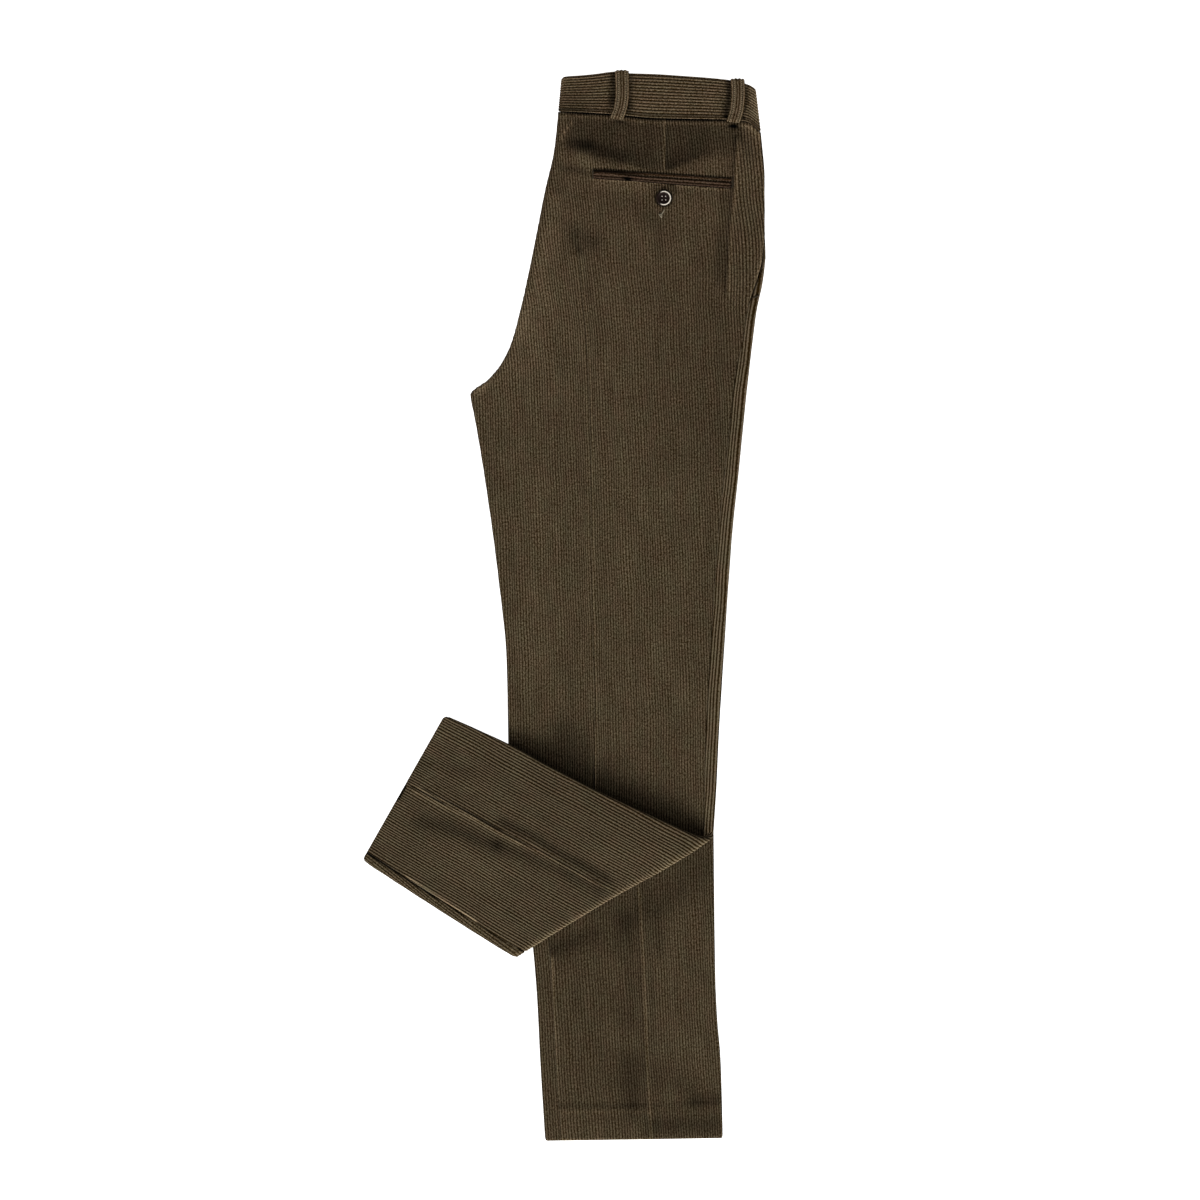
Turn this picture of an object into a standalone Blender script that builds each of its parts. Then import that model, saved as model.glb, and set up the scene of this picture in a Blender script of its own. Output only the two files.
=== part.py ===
"""Wide-wale corduroy trousers, folded lengthwise and laid flat on a table.

The right leg lies on the left one, back panel up, and its end is turned back over the fold line.
Each leg is a flattened tube of two panels. The hidden stretches of both fronts share one solid.

Sizes are in millimetres and are turned into metres where a mesh is made. `x` is measured to the
right of the middle of the garment, `down` from the waistband's highest point towards the hems, and
`z` up from the table. The origin is on the table, under the middle of the garment's outline.
"""
import math
from collections import namedtuple

import bmesh
import bpy
from mathutils import Matrix, Vector

MM = 0.001

# Driving sizes, in millimetres
OUTSEAM = 1070.0            # waistband's top edge to the hem
SEAM_GAP = 0.3              # between two sewn pieces, or two layers
ROLL_GAP = 1.4              # at the seams in the roll, where they twist
POCKET_GAP = 1.2            # at the slit of the slanted front pocket
WAIST_GAP = 0.5             # at the waist seam, which turns down at its right end
WALL = 1.8                  # corduroy from its back to the top of a wale
WALE = 2.65                 # from one wale to the next
RELIEF = 0.45               # how far the grooves lie below the tops of the wales
LEG_HEIGHT = 6.0            # one leg pressed flat: two walls and the air between them
BAND_WALL = 2.4             # the waistband is doubled and stiffened
BAND_RISE = 0.6             # how far the waistband stands above the panel below it
BAND_WALES = 14
LOOP_WIDTH = 14.0
LOOP_THICKNESS = 1.7
WAIST_LIFT = 3.0            # the loops underneath hold the waist end up from the table
BUTTON_DIAMETER = 15.0

# Heights that follow from them
UPPER_BASE = LEG_HEIGHT + SEAM_GAP
UPPER_TOP = UPPER_BASE + LEG_HEIGHT
MIRROR_Z = UPPER_BASE + LEG_HEIGHT          # the lower leg is the upper one mirrored in height
EDGE_RADIUS = LEG_HEIGHT / 2.0
QUARTER_TURN = EDGE_RADIUS * math.pi / 2.0
SEAT_ROUNDING = 9.0         # how far in the centre back starts to turn down
HALF_WALE = WALE / 2.0

# The fold: the end of the upper leg is turned back over this line, given by its two ends
FOLD_LEFT = Vector((-47.5, -886.0))
FOLD_RIGHT = Vector((147.5, -767.0))
FOLD_ALONG = (FOLD_RIGHT - FOLD_LEFT).normalized()
FOLD_PAST = Vector((FOLD_ALONG.y, -FOLD_ALONG.x))
FOLD_INNER_RADIUS = 0.4
FOLD_AXIS_Z = UPPER_TOP + FOLD_INNER_RADIUS
ROLL_RADIUS = FOLD_AXIS_Z - UPPER_BASE
ROLL_LENGTH = 2.0 * ROLL_RADIUS             # cloth used by the half turn, at its neutral line
ROLL_START = FOLD_LEFT - ROLL_RADIUS * FOLD_PAST
ROLL_STEPS = 4
TURNED_BASE = FOLD_AXIS_Z + FOLD_INNER_RADIUS
DROOP_RUN = 75.0            # over this length the turned end comes down to the table

# Seams that lie away from a leg's edges
SIDE_STRIP = 14.0           # front panel that shows along the right edge of the upper leg
UPPER_INSEAM_LIP = 9.0      # back panel that goes round the left edge of the upper leg
LOWER_INSEAM_LIP = 16.0     # the same on the lower leg
HIDDEN_WRAP = 18.0          # front panel kept under the upper leg's right edge, above the fold
HIDDEN_END = -20.0          # where the fronts leave the inner layers, before the roll starts
FULL_FRONT_START = -8.0
CORE_INSET = 18.0           # inner layers start this far in from the left edge, in the legs
SEAT_CORE_INSET = 6.0       # and in the seat
CORE_CLEARANCE = 0.6

EdgePoint = namedtuple("EdgePoint", "down x")
UPPER_LEFT = [
    EdgePoint(0, -3.5), EdgePoint(41, -6.5), EdgePoint(79, -10.5), EdgePoint(119, -19.5),
    EdgePoint(199, -35.5), EdgePoint(239, -44.5), EdgePoint(272, -53.5), EdgePoint(296, -65.5),
    EdgePoint(309, -78.5), EdgePoint(318, -90.5), EdgePoint(323, -94.2), EdgePoint(330, -93.3),
    EdgePoint(349, -89.5), EdgePoint(419, -78.0), EdgePoint(500, -67.0), EdgePoint(589, -58.0),
    EdgePoint(649, -56.5), EdgePoint(729, -55.5), EdgePoint(809, -52.0), EdgePoint(886, -47.5),
    EdgePoint(960, -40.0), EdgePoint(1072, -28.5),
]
UPPER_RIGHT = [
    EdgePoint(0, 184.0), EdgePoint(19, 190.5), EdgePoint(62, 195.5), EdgePoint(109, 199.4),
    EdgePoint(184, 199.4), EdgePoint(199, 199.0), EdgePoint(214, 197.0), EdgePoint(239, 191.5),
    EdgePoint(269, 187.5), EdgePoint(319, 181.5), EdgePoint(379, 175.5), EdgePoint(469, 166.5),
    EdgePoint(549, 160.5), EdgePoint(649, 154.0), EdgePoint(767, 147.5), EdgePoint(900, 140.5),
    EdgePoint(1072, 131.5),
]
LOWER_LEFT_FREE = [     # below the stretch that follows the upper leg
    EdgePoint(590, -56.5), EdgePoint(649, -54.5), EdgePoint(729, -49.0), EdgePoint(809, -39.5),
    EdgePoint(879, -31.5), EdgePoint(929, -27.5), EdgePoint(989, -24.5), EdgePoint(1070, -19.5),
]
LOWER_RIGHT_FREE = [
    EdgePoint(649, 152.0), EdgePoint(719, 148.0), EdgePoint(767, 148.5), EdgePoint(869, 149.5),
    EdgePoint(929, 151.0), EdgePoint(1000, 156.0), EdgePoint(1070, 157.5),
]
SidePoint = namedtuple("SidePoint", "down strip")
SIDE_SEAM = [           # width of front panel on top of the upper leg, inside its right edge
    SidePoint(184, 0.0), SidePoint(225, 4.0), SidePoint(258, 8.0), SidePoint(292, SIDE_STRIP),
    SidePoint(1072, SIDE_STRIP - 2.0),
]
CrownPoint = namedtuple("CrownPoint", "down height")
CROWN = [               # how far the upper leg swells in its middle
    CrownPoint(0, 1.6), CrownPoint(60, 2.4), CrownPoint(110, 3.8), CrownPoint(180, 4.4),
    CrownPoint(250, 3.4), CrownPoint(340, 2.2), CrownPoint(450, 1.5), CrownPoint(560, 0.9),
    CrownPoint(640, 0.0),
]
SwellPoint = namedtuple("SwellPoint", "past height")
TURNED_SWELL = [        # the same on top of the turned end, by the distance past the roll's start
    SwellPoint(13, 0.0), SwellPoint(80, 1.2), SwellPoint(200, 1.2), SwellPoint(300, 0.4),
]
LOWER_SWELL = [         # and on the lower leg, below the fold
    SwellPoint(14, 0.0), SwellPoint(80, 1.1), SwellPoint(220, 1.1), SwellPoint(330, 0.4),
]
BandPoint = namedtuple("BandPoint", "share top bottom")
BAND = [                # edges of the waistband, at a share of its width from the left
    BandPoint(0.00, 8.0, 41.0), BandPoint(0.27, 1.0, 44.0), BandPoint(0.34, 2.4, 45.5),
    BandPoint(0.47, 2.8, 48.0), BandPoint(0.84, 8.6, 49.5), BandPoint(0.93, 12.6, 51.5),
    BandPoint(1.00, 19.0, 62.0),
]
BAND_LEFT = (-3.5, -6.5)        # x of its left end, at the top edge and at the bottom edge
BAND_RIGHT = (190.5, 195.5)
BAND_SHARES = (0.0, 0.13, 0.27, 0.34, 0.47, 0.6, 0.72, 0.84, 0.89, 0.93, 0.96, 0.98, 1.0)

LevelRow = namedtuple("LevelRow", "left right")
EVERYWHERE = -1000.0
NOWHERE = 1000.0
HIP_ROWS = [            # rows of points across the upper leg, down to the fold
    LevelRow(119, 119), LevelRow(184, 184), LevelRow(239, 239), LevelRow(272, 272),
    LevelRow(296, 296), LevelRow(318, 318), LevelRow(323, 323), LevelRow(349, 349),
    LevelRow(500, 500), LevelRow(589, 589), LevelRow(729, 719),
]
CORNER_WALES_FROM = 95.0
ROW_LEFT_X = -50.0
ROW_RIGHT_X = 150.0
TURNED_ROWS = [         # beyond the roll; close together where the turned end comes down
    LevelRow(905, 880), LevelRow(925, 960), LevelRow(945, 1000), LevelRow(968, 1022),
    LevelRow(995, 1037), LevelRow(1028, 1048),
]
UPPER_HEM = LevelRow(1067.1, 1059.0)
LOWER_ROWS = [LevelRow(925, 860), LevelRow(1000, 985)]
LOWER_HEM = LevelRow(1070.0, 1067.0)
SPARSE_STEP = 24            # half wales between the points of a plain stretch
WAIST_STEP = 4              # the same along the curved waist seam
TURNED_STEP = 12            # and where the turned end comes down
CROTCH_START, CROTCH_END = 300.0, 323.0

# What lies on the hip
POCKET_LEFT, POCKET_RIGHT = 28.5, 167.5
POCKET_DOWN = 99.0          # upper edge of the upper lip at its left end
POCKET_SLOPE = 8.5 / 139.0
UPPER_LIP = 2.2
SLIT = 1.0
LOWER_LIP = 5.6
LIP_THICKNESS = 1.2
BUTTON_X, BUTTON_DOWN = 99.7, 127.4
BUTTON_THICKNESS = 2.8
BUTTON_RIM = 2.0
BUTTON_DISH = 0.9
BUTTON_HOLE_RADIUS = 1.0
BUTTON_HOLE_SPACING = 3.4
POCKET_START, POCKET_END = 190.0, 245.0     # the slanted front pocket's slit, down the side
LAID_ON_GAP = 0.4           # between a panel and what lies on it

LoopPlace = namedtuple("LoopPlace", "name top_x bottom_x top_down bottom_down")
LOOPS = [
    LoopPlace("belt_loop_back", 50.5, 46.5, 0.6, 49.0),
    LoopPlace("belt_loop_side", 166.5, 162.0, 9.6, 53.0),
]

CORDUROY = (0.062, 0.043, 0.026)
HORN = (0.045, 0.028, 0.018)


# Curves through the tables

def smooth(table):
    """A curve through the table's first two columns that never overshoots a point."""
    at = [row[0] for row in table]
    value = [row[1] for row in table]
    rise = [(value[i + 1] - value[i]) / (at[i + 1] - at[i]) for i in range(len(at) - 1)]
    slope = [rise[0]]
    for before, after in zip(rise, rise[1:]):
        level = before * after <= 0.0
        slope.append(0.0 if level else 2.0 * before * after / (before + after))
    slope.append(rise[-1])

    def curve(position):
        position = min(max(position, at[0]), at[-1])
        i = 0
        while i < len(at) - 2 and position > at[i + 1]:
            i += 1
        span = at[i + 1] - at[i]
        t = (position - at[i]) / span
        return (value[i] * (1 + 2 * t) * (1 - t) ** 2 + span * slope[i] * t * (1 - t) ** 2
                + value[i + 1] * t * t * (3 - 2 * t) + span * slope[i + 1] * t * t * (t - 1))
    return curve


def ease(t):
    t = min(max(t, 0.0), 1.0)
    return t * t * (3.0 - 2.0 * t)


def mix(a, b, t):
    return a + (b - a) * t


upper_left = smooth(UPPER_LEFT)
upper_right = smooth(UPPER_RIGHT)
lower_left_free = smooth(LOWER_LEFT_FREE)
lower_right_free = smooth(LOWER_RIGHT_FREE)
side_strip = smooth(SIDE_SEAM)
crown_height = smooth(CROWN)
turned_swell = smooth(TURNED_SWELL)
lower_swell = smooth(LOWER_SWELL)
band_top = smooth([(p.share, p.top) for p in BAND])
band_bottom = smooth([(p.share, p.bottom) for p in BAND])


def legness(down):
    """0 in the seat, where both backs meet at the centre back seam, and 1 in the legs."""
    return ease((down - CROTCH_START) / (CROTCH_END - CROTCH_START))


def lower_left(down):
    inset = 1.5 * legness(down)
    if down < LOWER_LEFT_FREE[0].down:
        return upper_left(down) + inset
    return lower_left_free(down)


def lower_right(down):
    if down < LOWER_RIGHT_FREE[0].down:
        return upper_right(down) - 1.5
    return mix(upper_right(down) - 1.5, lower_right_free(down), ease((down - 649.0) / 70.0))


# Where a point of the flat pattern lies on the table

def past_roll(x, down):
    """How far a point of the flat leg is past the line where the roll starts."""
    return (Vector((x, -down)) - ROLL_START).dot(FOLD_PAST)


def fold_over(x, down, z):
    """Bends the flat upper leg round the fold, and lets the turned end come down to the table."""
    past = past_roll(x, down)
    if past <= 0.0:
        return x, down, z
    flat = Vector((x, -down))
    radius = FOLD_AXIS_Z - z
    if past < ROLL_LENGTH:
        angle = math.pi * past / ROLL_LENGTH
        flat = flat + (radius * math.sin(angle) - past) * FOLD_PAST
        z = FOLD_AXIS_Z - radius * math.cos(angle)
    else:
        flat = flat + (ROLL_LENGTH - 2.0 * past) * FOLD_PAST
        z = FOLD_AXIS_Z + radius
    z -= TURNED_BASE * ease((upper_left(-flat.y) - flat.x) / DROOP_RUN)
    return flat.x, -flat.y, z


def place(x, down, z):
    """The point in metres, in the part's own frame."""
    z += WAIST_LIFT * (1.0 - ease((down - 60.0) / 60.0))
    return Vector((x, OUTSEAM / 2.0 - down, z)) * MM


def share_across(x, down):
    left = upper_left(down) + EDGE_RADIUS
    right = upper_right(down) - EDGE_RADIUS
    return min(max((x - left) / (right - left), 0.0), 1.0)


def crown(x, down):
    return crown_height(down) * math.sin(math.pi * share_across(x, down))


# Rows across a leg: each gives how far down it is at x

def level(left, right):
    slope = (right - left) / (ROW_RIGHT_X - ROW_LEFT_X)
    return lambda x: left + (x - ROW_LEFT_X) * slope


def along_fold(past):
    return lambda x: (past - (x - ROLL_START.x) * FOLD_PAST.x) / -FOLD_PAST.y - ROLL_START.y


def waist_row(x):
    share = (x - BAND_LEFT[1]) / (BAND_RIGHT[1] - BAND_LEFT[1])
    return band_bottom(share) + WAIST_GAP


def below_waist_row(x):
    return mix(waist_row(x), HIP_ROWS[0].left, 0.45)


# step is the number of half wales between the points of a plain stretch
Row = namedtuple("Row", "down wales_from step")


def plain(row):
    return row._replace(wales_from=NOWHERE)


def waled(down, wales_from=EVERYWHERE, step=SPARSE_STEP):
    return Row(down, wales_from, step)


def upper_rows():
    """The upper leg's rows as far as the roll."""
    rows = [waled(waist_row, step=WAIST_STEP), waled(below_waist_row)]
    rows += [waled(level(r.left, r.right)) for r in HIP_ROWS]
    return rows


def roll_rows():
    return [waled(along_fold(ROLL_LENGTH * i / ROLL_STEPS)) for i in range(ROLL_STEPS + 1)]


def turned_rows():
    rows = TURNED_ROWS + [UPPER_HEM]
    return [waled(level(r.left, r.right), step=TURNED_STEP) for r in rows]


# Sections of a leg. A leg is described as the upper one; the lower one is mirrored in height.

Leg = namedtuple("Leg", "left right inseam_lip strip mirrored")
UPPER = Leg(upper_left, upper_right, UPPER_INSEAM_LIP, side_strip, False)
LOWER = Leg(lower_left, lower_right, LOWER_INSEAM_LIP, lambda down: 0.0, True)

# key orders the stations of a row, and two rows share the stations with equal keys
Station = namedtuple("Station", "key x z out_x out_z sunk")
LEFT_KEY, LIP_KEY, LEFT_END_KEY = -1000, -1010, -2000
RIGHT_KEY, RIGHT_END_KEY = 1000, 2000


def edge_x(edge, row):
    x = edge(row.down(0.0))
    for _ in range(12):
        x = edge(row.down(x))
    return x


def round_right_edge(right, travel):
    """A point at `travel` from the right edge's outermost point, upwards and to the left."""
    if travel > QUARTER_TURN:
        return right - EDGE_RADIUS - (travel - QUARTER_TURN), UPPER_TOP, 0.0, 1.0
    if travel < -QUARTER_TURN:
        return right - EDGE_RADIUS + (travel + QUARTER_TURN), UPPER_BASE, 0.0, -1.0
    angle = travel / EDGE_RADIUS
    middle = UPPER_BASE + EDGE_RADIUS
    out_x, out_z = math.cos(angle), math.sin(angle)
    return right - EDGE_RADIUS * (1.0 - out_x), middle + EDGE_RADIUS * out_z, out_x, out_z


def side_seam_travel(strip):
    """Where the side seam is, as a travel from the right edge's outermost point."""
    return strip * (QUARTER_TURN - EDGE_RADIUS + SIDE_STRIP) / SIDE_STRIP


def left_turn(leg, row, left, waled_lip):
    """Stations of a back panel round the left edge, from the seam's end to the flat."""
    down = row.down(left)
    leg_share = legness(down)
    stations = []
    for j in range(5):
        turn = math.pi * j / 4.0
        seat_turn = math.pi / 2.0 * j / 5.0
        in_seat = Vector((left + SEAT_ROUNDING * (1.0 - math.sin(seat_turn)),
                          UPPER_BASE + LEG_HEIGHT * math.cos(seat_turn)))
        in_leg = Vector((left + EDGE_RADIUS * (1.0 - math.sin(turn)),
                         UPPER_BASE + EDGE_RADIUS * (1.0 + math.cos(turn))))
        out_seat = Vector((-math.sin(seat_turn) / SEAT_ROUNDING,
                           math.cos(seat_turn) / LEG_HEIGHT)).normalized()
        out_leg = Vector((-math.sin(turn), math.cos(turn)))
        at = in_seat.lerp(in_leg, leg_share)
        out = out_seat.lerp(out_leg, leg_share).normalized()
        stations.append(Station(LEFT_KEY - j, at.x, at.y, out.x, out.y, False))
    if leg_share == 1.0:
        count = int((leg.inseam_lip - EDGE_RADIUS) / HALF_WALE - 0.4)
        for i in range(1, count + 1):
            x = left + EDGE_RADIUS + i * HALF_WALE
            sunk = waled_lip and i % 2 == 1
            stations.append(Station(LIP_KEY - i, x, UPPER_BASE, 0.0, -1.0, sunk))
    end = Vector((left, UPPER_BASE)).lerp(Vector((left + leg.inseam_lip, UPPER_BASE)), leg_share)
    out = Vector((-1.0, 0.0)).lerp(Vector((0.0, -1.0)), leg_share).normalized()
    stations.append(Station(LEFT_END_KEY, end.x, end.y, out.x, out.y, False))
    return stations[::-1]


def flat_stations(x_from, x_to, z, out_z, step, waled_from):
    """Stations at every `step` half wales between two points, and at each one among the wales."""
    stations = []
    margin = 0.4 * HALF_WALE
    first = math.ceil((x_from + margin) / HALF_WALE)
    last = math.floor((x_to - margin) / HALF_WALE)
    for k in range(first, last + 1):
        x = k * HALF_WALE
        in_wales = x > waled_from
        if k % step == 0 or in_wales:
            stations.append(Station(k, x, z, 0.0, out_z, in_wales and k % 2 == 1))
    return stations


def back_section(leg, row, waled_lip):
    """Outer and inner stations of a back panel, from the inseam round and over to the side seam."""
    left = edge_x(leg.left, row)
    right = edge_x(leg.right, row)
    seam = side_seam_travel(leg.strip(row.down(right)))
    turn = left_turn(leg, row, left, waled_lip)
    end = [round_right_edge(right, seam + QUARTER_TURN * part) for part in (1.0, 0.5, 0.0)]
    rim = [Station(RIGHT_KEY + j, *point, False) for j, point in enumerate(end)]
    outer = flat_stations(turn[-1].x, rim[0].x, UPPER_TOP, 1.0, row.step, row.wales_from)
    inner = flat_stations(turn[-1].x, rim[0].x, UPPER_TOP, 1.0, row.step, NOWHERE)
    return turn + outer + rim, turn + inner + rim


def front_section(leg, row, narrow, seam_gap):
    """The same of a front panel, from the inseam under the leg and round its right edge."""
    left = edge_x(leg.left, row)
    right = edge_x(leg.right, row)
    seam = side_seam_travel(leg.strip(row.down(right))) - seam_gap
    start_x = right - HIDDEN_WRAP if narrow else left + leg.inseam_lip + seam_gap
    start = Station(LEFT_END_KEY, start_x, UPPER_BASE, 0.0, -1.0, False)
    turn = []
    travel = -QUARTER_TURN
    while travel < seam - 0.4 * HALF_WALE:
        j = len(turn)
        turn.append(Station(RIGHT_KEY + j, *round_right_edge(right, travel), j % 2 == 1))
        travel += HALF_WALE
    turn.append(Station(RIGHT_END_KEY, *round_right_edge(right, seam), False))
    waled_from = NOWHERE if narrow else row.wales_from
    outer = flat_stations(start_x, turn[0].x, UPPER_BASE, -1.0, row.step, waled_from)
    inner = flat_stations(start_x, turn[0].x, UPPER_BASE, -1.0, row.step, NOWHERE)
    return [start] + outer + turn, [start] + inner + turn


def leg_points(leg, row, stations, depth, swell):
    """Places the stations of one row, `depth` below the wales' tops."""
    points = []
    for s in stations:
        inward = depth + (RELIEF if s.sunk and depth == 0.0 else 0.0)
        x = s.x - s.out_x * inward
        down = row.down(x)
        z = s.z + s.out_z * (swell(x, down, s.out_z) - inward)
        if leg.mirrored:
            z = MIRROR_Z - z
        else:
            x, down, z = fold_over(x, down, z)
        points.append((s.key, place(x, down, z)))
    return points


# Meshes

def strip_faces(first, second):
    """Index loops that join two rows of (key, index) at the keys that they share."""
    keys = {key for key, _ in first} & {key for key, _ in second}
    spots_a = [i for i, (key, _) in enumerate(first) if key in keys]
    spots_b = [i for i, (key, _) in enumerate(second) if key in keys]
    loops = []
    for i in range(len(spots_a) - 1):
        run_a = [index for _, index in first[spots_a[i]:spots_a[i + 1] + 1]]
        run_b = [index for _, index in second[spots_b[i]:spots_b[i + 1] + 1]]
        loops.append(run_a + run_b[::-1])
    return loops


def numbered(rows, mesh_points):
    result = []
    for row in rows:
        numbers = []
        for key, point in row:
            numbers.append((key, len(mesh_points)))
            mesh_points.append(point)
        result.append(numbers)
    return result


def wall_object(name, outer_rows, inner_rows, material):
    """A closed wall between two sheets whose rows run side by side."""
    points = []
    outer = numbered(outer_rows, points)
    inner = numbered(inner_rows, points)
    loops = []
    for i in range(len(outer) - 1):
        loops += strip_faces(outer[i], outer[i + 1])
        loops += strip_faces(inner[i + 1], inner[i])
        for end in (0, -1):
            loops.append([outer[i][end][1], inner[i][end][1],
                          inner[i + 1][end][1], outer[i + 1][end][1]])
    loops += strip_faces(inner[0], outer[0])
    loops += strip_faces(outer[-1], inner[-1])
    return mesh_object(name, points, loops, material)


def mesh_object(name, points, loops, material):
    bm = bmesh.new()
    verts = [bm.verts.new(point) for point in points]
    for loop in loops:
        bm.faces.new([verts[i] for i in loop])
    bmesh.ops.recalc_face_normals(bm, faces=bm.faces)
    bmesh.ops.triangulate(bm, faces=bm.faces, ngon_method="EAR_CLIP")
    mesh = bpy.data.meshes.new(name)
    bm.to_mesh(mesh)
    bm.free()
    mesh.materials.append(material)
    obj = bpy.data.objects.new(name, mesh)
    bpy.data.collections[COLLECTION].objects.link(obj)
    return obj


def principled(name, colour, roughness, sheen=0.0):
    material = bpy.data.materials.new(name)
    material.use_nodes = True
    shader = material.node_tree.nodes["Principled BSDF"]
    shader.inputs["Base Color"].default_value = (*colour, 1.0)
    shader.inputs["Roughness"].default_value = roughness
    shader.inputs["Metallic"].default_value = 0.0
    shader.inputs["Sheen Weight"].default_value = sheen
    return material


# Panels

def upper_swell(x, down, out_z):
    if out_z > 0.0:
        return crown(x, down)
    return turned_swell(past_roll(x, down)) * math.sin(math.pi * share_across(x, down))


def lower_leg_swell(x, down, out_z):
    if out_z > 0.0:
        return 0.0
    return lower_swell(past_roll(x, down)) * math.sin(math.pi * share_across(x, down))


def make_back_right(material):
    rows = upper_rows()
    rows += [waled(along_fold(HIDDEN_END), CORNER_WALES_FROM)]
    rows += [waled(along_fold(FULL_FRONT_START), CORNER_WALES_FROM)]
    rows += [plain(row) for row in roll_rows() + turned_rows()]
    outer, inner = [], []
    for row in rows:
        turned = past_roll(ROW_RIGHT_X, row.down(ROW_RIGHT_X)) >= 0.0
        shown, hidden = back_section(UPPER, row, turned)
        outer.append(leg_points(UPPER, row, shown, 0.0, upper_swell))
        inner.append(leg_points(UPPER, row, hidden, WALL, upper_swell))
    return wall_object("back_panel_right", outer, inner, material)


def make_front_right(material):
    kept = upper_rows() + [waled(along_fold(HIDDEN_END))]
    rolled = [plain(waled(along_fold(FULL_FRONT_START)))] + roll_rows()
    outer, inner = [], []
    for row in kept + rolled + turned_rows():
        gap = ROLL_GAP if row in rolled else SEAM_GAP
        if POCKET_START < row.down(ROW_RIGHT_X) < POCKET_END:
            gap = POCKET_GAP
        shown, hidden = front_section(UPPER, row, row in kept, gap)
        outer.append(leg_points(UPPER, row, shown, 0.0, upper_swell))
        inner.append(leg_points(UPPER, row, hidden, WALL, upper_swell))
    return wall_object("front_panel_right", outer, inner, material)


def make_front_left(material):
    rows = [plain(waled(along_fold(HIDDEN_END))), waled(along_fold(0.0))]
    rows += [waled(level(r.left, r.right)) for r in LOWER_ROWS + [LOWER_HEM]]
    outer, inner = [], []
    for row in rows:
        shown, hidden = front_section(LOWER, row, False, SEAM_GAP)
        outer.append(leg_points(LOWER, row, shown, 0.0, lower_leg_swell))
        inner.append(leg_points(LOWER, row, hidden, WALL, lower_leg_swell))
    return wall_object("front_panel_left", outer, inner, material)


def make_back_left(material):
    rows = upper_rows() + [waled(along_fold(0.0))]
    rows += [waled(level(r.left, r.right)) for r in LOWER_ROWS + [LOWER_HEM]]
    rows = [plain(row) for row in rows]
    outer, inner = [], []
    for row in rows:
        below_fold = past_roll(ROW_RIGHT_X, row.down(ROW_RIGHT_X)) >= 0.0
        shown, hidden = back_section(LOWER, row, below_fold)
        outer.append(leg_points(LOWER, row, shown, 0.0, lower_leg_swell))
        inner.append(leg_points(LOWER, row, hidden, WALL, lower_leg_swell))
    return wall_object("back_panel_left", outer, inner, material)


def core_loop(row):
    """Section of the inner layers, which bulge at each leg and are parted by a groove."""
    left = edge_x(lower_left, row)
    left += mix(SEAT_CORE_INSET, CORE_INSET, legness(row.down(left)))
    right_low = edge_x(lower_right, row)
    right_high = edge_x(upper_right, row) - HIDDEN_WRAP - 1.5
    bottom = WALL + CORE_CLEARANCE
    top = UPPER_TOP - WALL - CORE_CLEARANCE
    middle = MIRROR_Z / 2.0
    seam = LEG_HEIGHT / 2.0 + SEAM_GAP
    loop = [(left + 1.5, bottom), (right_low - EDGE_RADIUS - 0.6, bottom),
            (right_low - WALL - 0.6, seam), (right_low, seam),
            (right_low - 0.6, seam + 1.5), (right_low - EDGE_RADIUS, LEG_HEIGHT),
            (right_high, LEG_HEIGHT), (right_high, top - 1.5)]
    for part in range(7):
        x = mix(right_high - 1.2, left + 1.2, part / 6.0)
        loop.append((x, top + crown(x, row.down(x))))
    loop += [(left, top - 1.5), (left, middle + 0.6), (left + 1.8, middle),
             (left, middle - 0.6), (left, bottom + 1.5)]
    return [place(x, row.down(x), z) for x, z in loop]


def make_core(material):
    rows = upper_rows()[1:] + [waled(along_fold(HIDDEN_END - SEAM_GAP))]
    rings = [core_loop(row) for row in rows]
    count = len(rings[0])
    points = [point for ring in rings for point in ring]
    loops = []
    for i in range(len(rings) - 1):
        for j in range(count):
            k = (j + 1) % count
            loops.append([i * count + j, i * count + k, (i + 1) * count + k, (i + 1) * count + j])
    loops.append(list(range(count)))
    loops.append(list(range(len(points) - count, len(points))))
    return mesh_object("inner_layers", points, loops, material)


# Waistband and belt loops

def band_stations():
    """Round one half of the waistband, from the centre back to the centre front inside."""
    height = LEG_HEIGHT + BAND_RISE
    radius = height / 2.0
    stations = []
    for j in range(4):
        turn = math.pi / 2.0 * (1.0 - j / 4.0)
        out = Vector((-math.sin(turn) / SEAT_ROUNDING, math.cos(turn) / height)).normalized()
        stations.append((0.0, SEAT_ROUNDING * (1.0 - math.sin(turn)),
                         UPPER_BASE + height * math.cos(turn), out.x, out.y))
    for share in BAND_SHARES:
        inset = mix(SEAT_ROUNDING, -radius, share)
        stations.append((share, inset, UPPER_BASE + height, 0.0, 1.0))
    for j in range(1, 7):
        turn = math.pi * j / 6.0
        stations.append((1.0, radius * (math.sin(turn) - 1.0),
                         UPPER_BASE + radius * (1.0 + math.cos(turn)),
                         math.sin(turn), math.cos(turn)))
    for share in BAND_SHARES[-2::-1]:
        stations.append((share, mix(SEAT_ROUNDING, -radius, share), UPPER_BASE, 0.0, -1.0))
    return stations


def band_point(station, part, inward, mirrored):
    share, inset, z, out_x, out_z = station
    left = mix(BAND_LEFT[0], BAND_LEFT[1], part)
    right = mix(BAND_RIGHT[0], BAND_RIGHT[1], part)
    x = mix(left, right, share) + inset - out_x * inward
    share = (x - left) / (right - left)
    down = mix(band_top(share), band_bottom(share), part)
    if out_z > 0.0 and not mirrored:
        z += crown(x, down) * out_z
    z -= out_z * inward
    return place(x, down, MIRROR_Z - z if mirrored else z)


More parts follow.
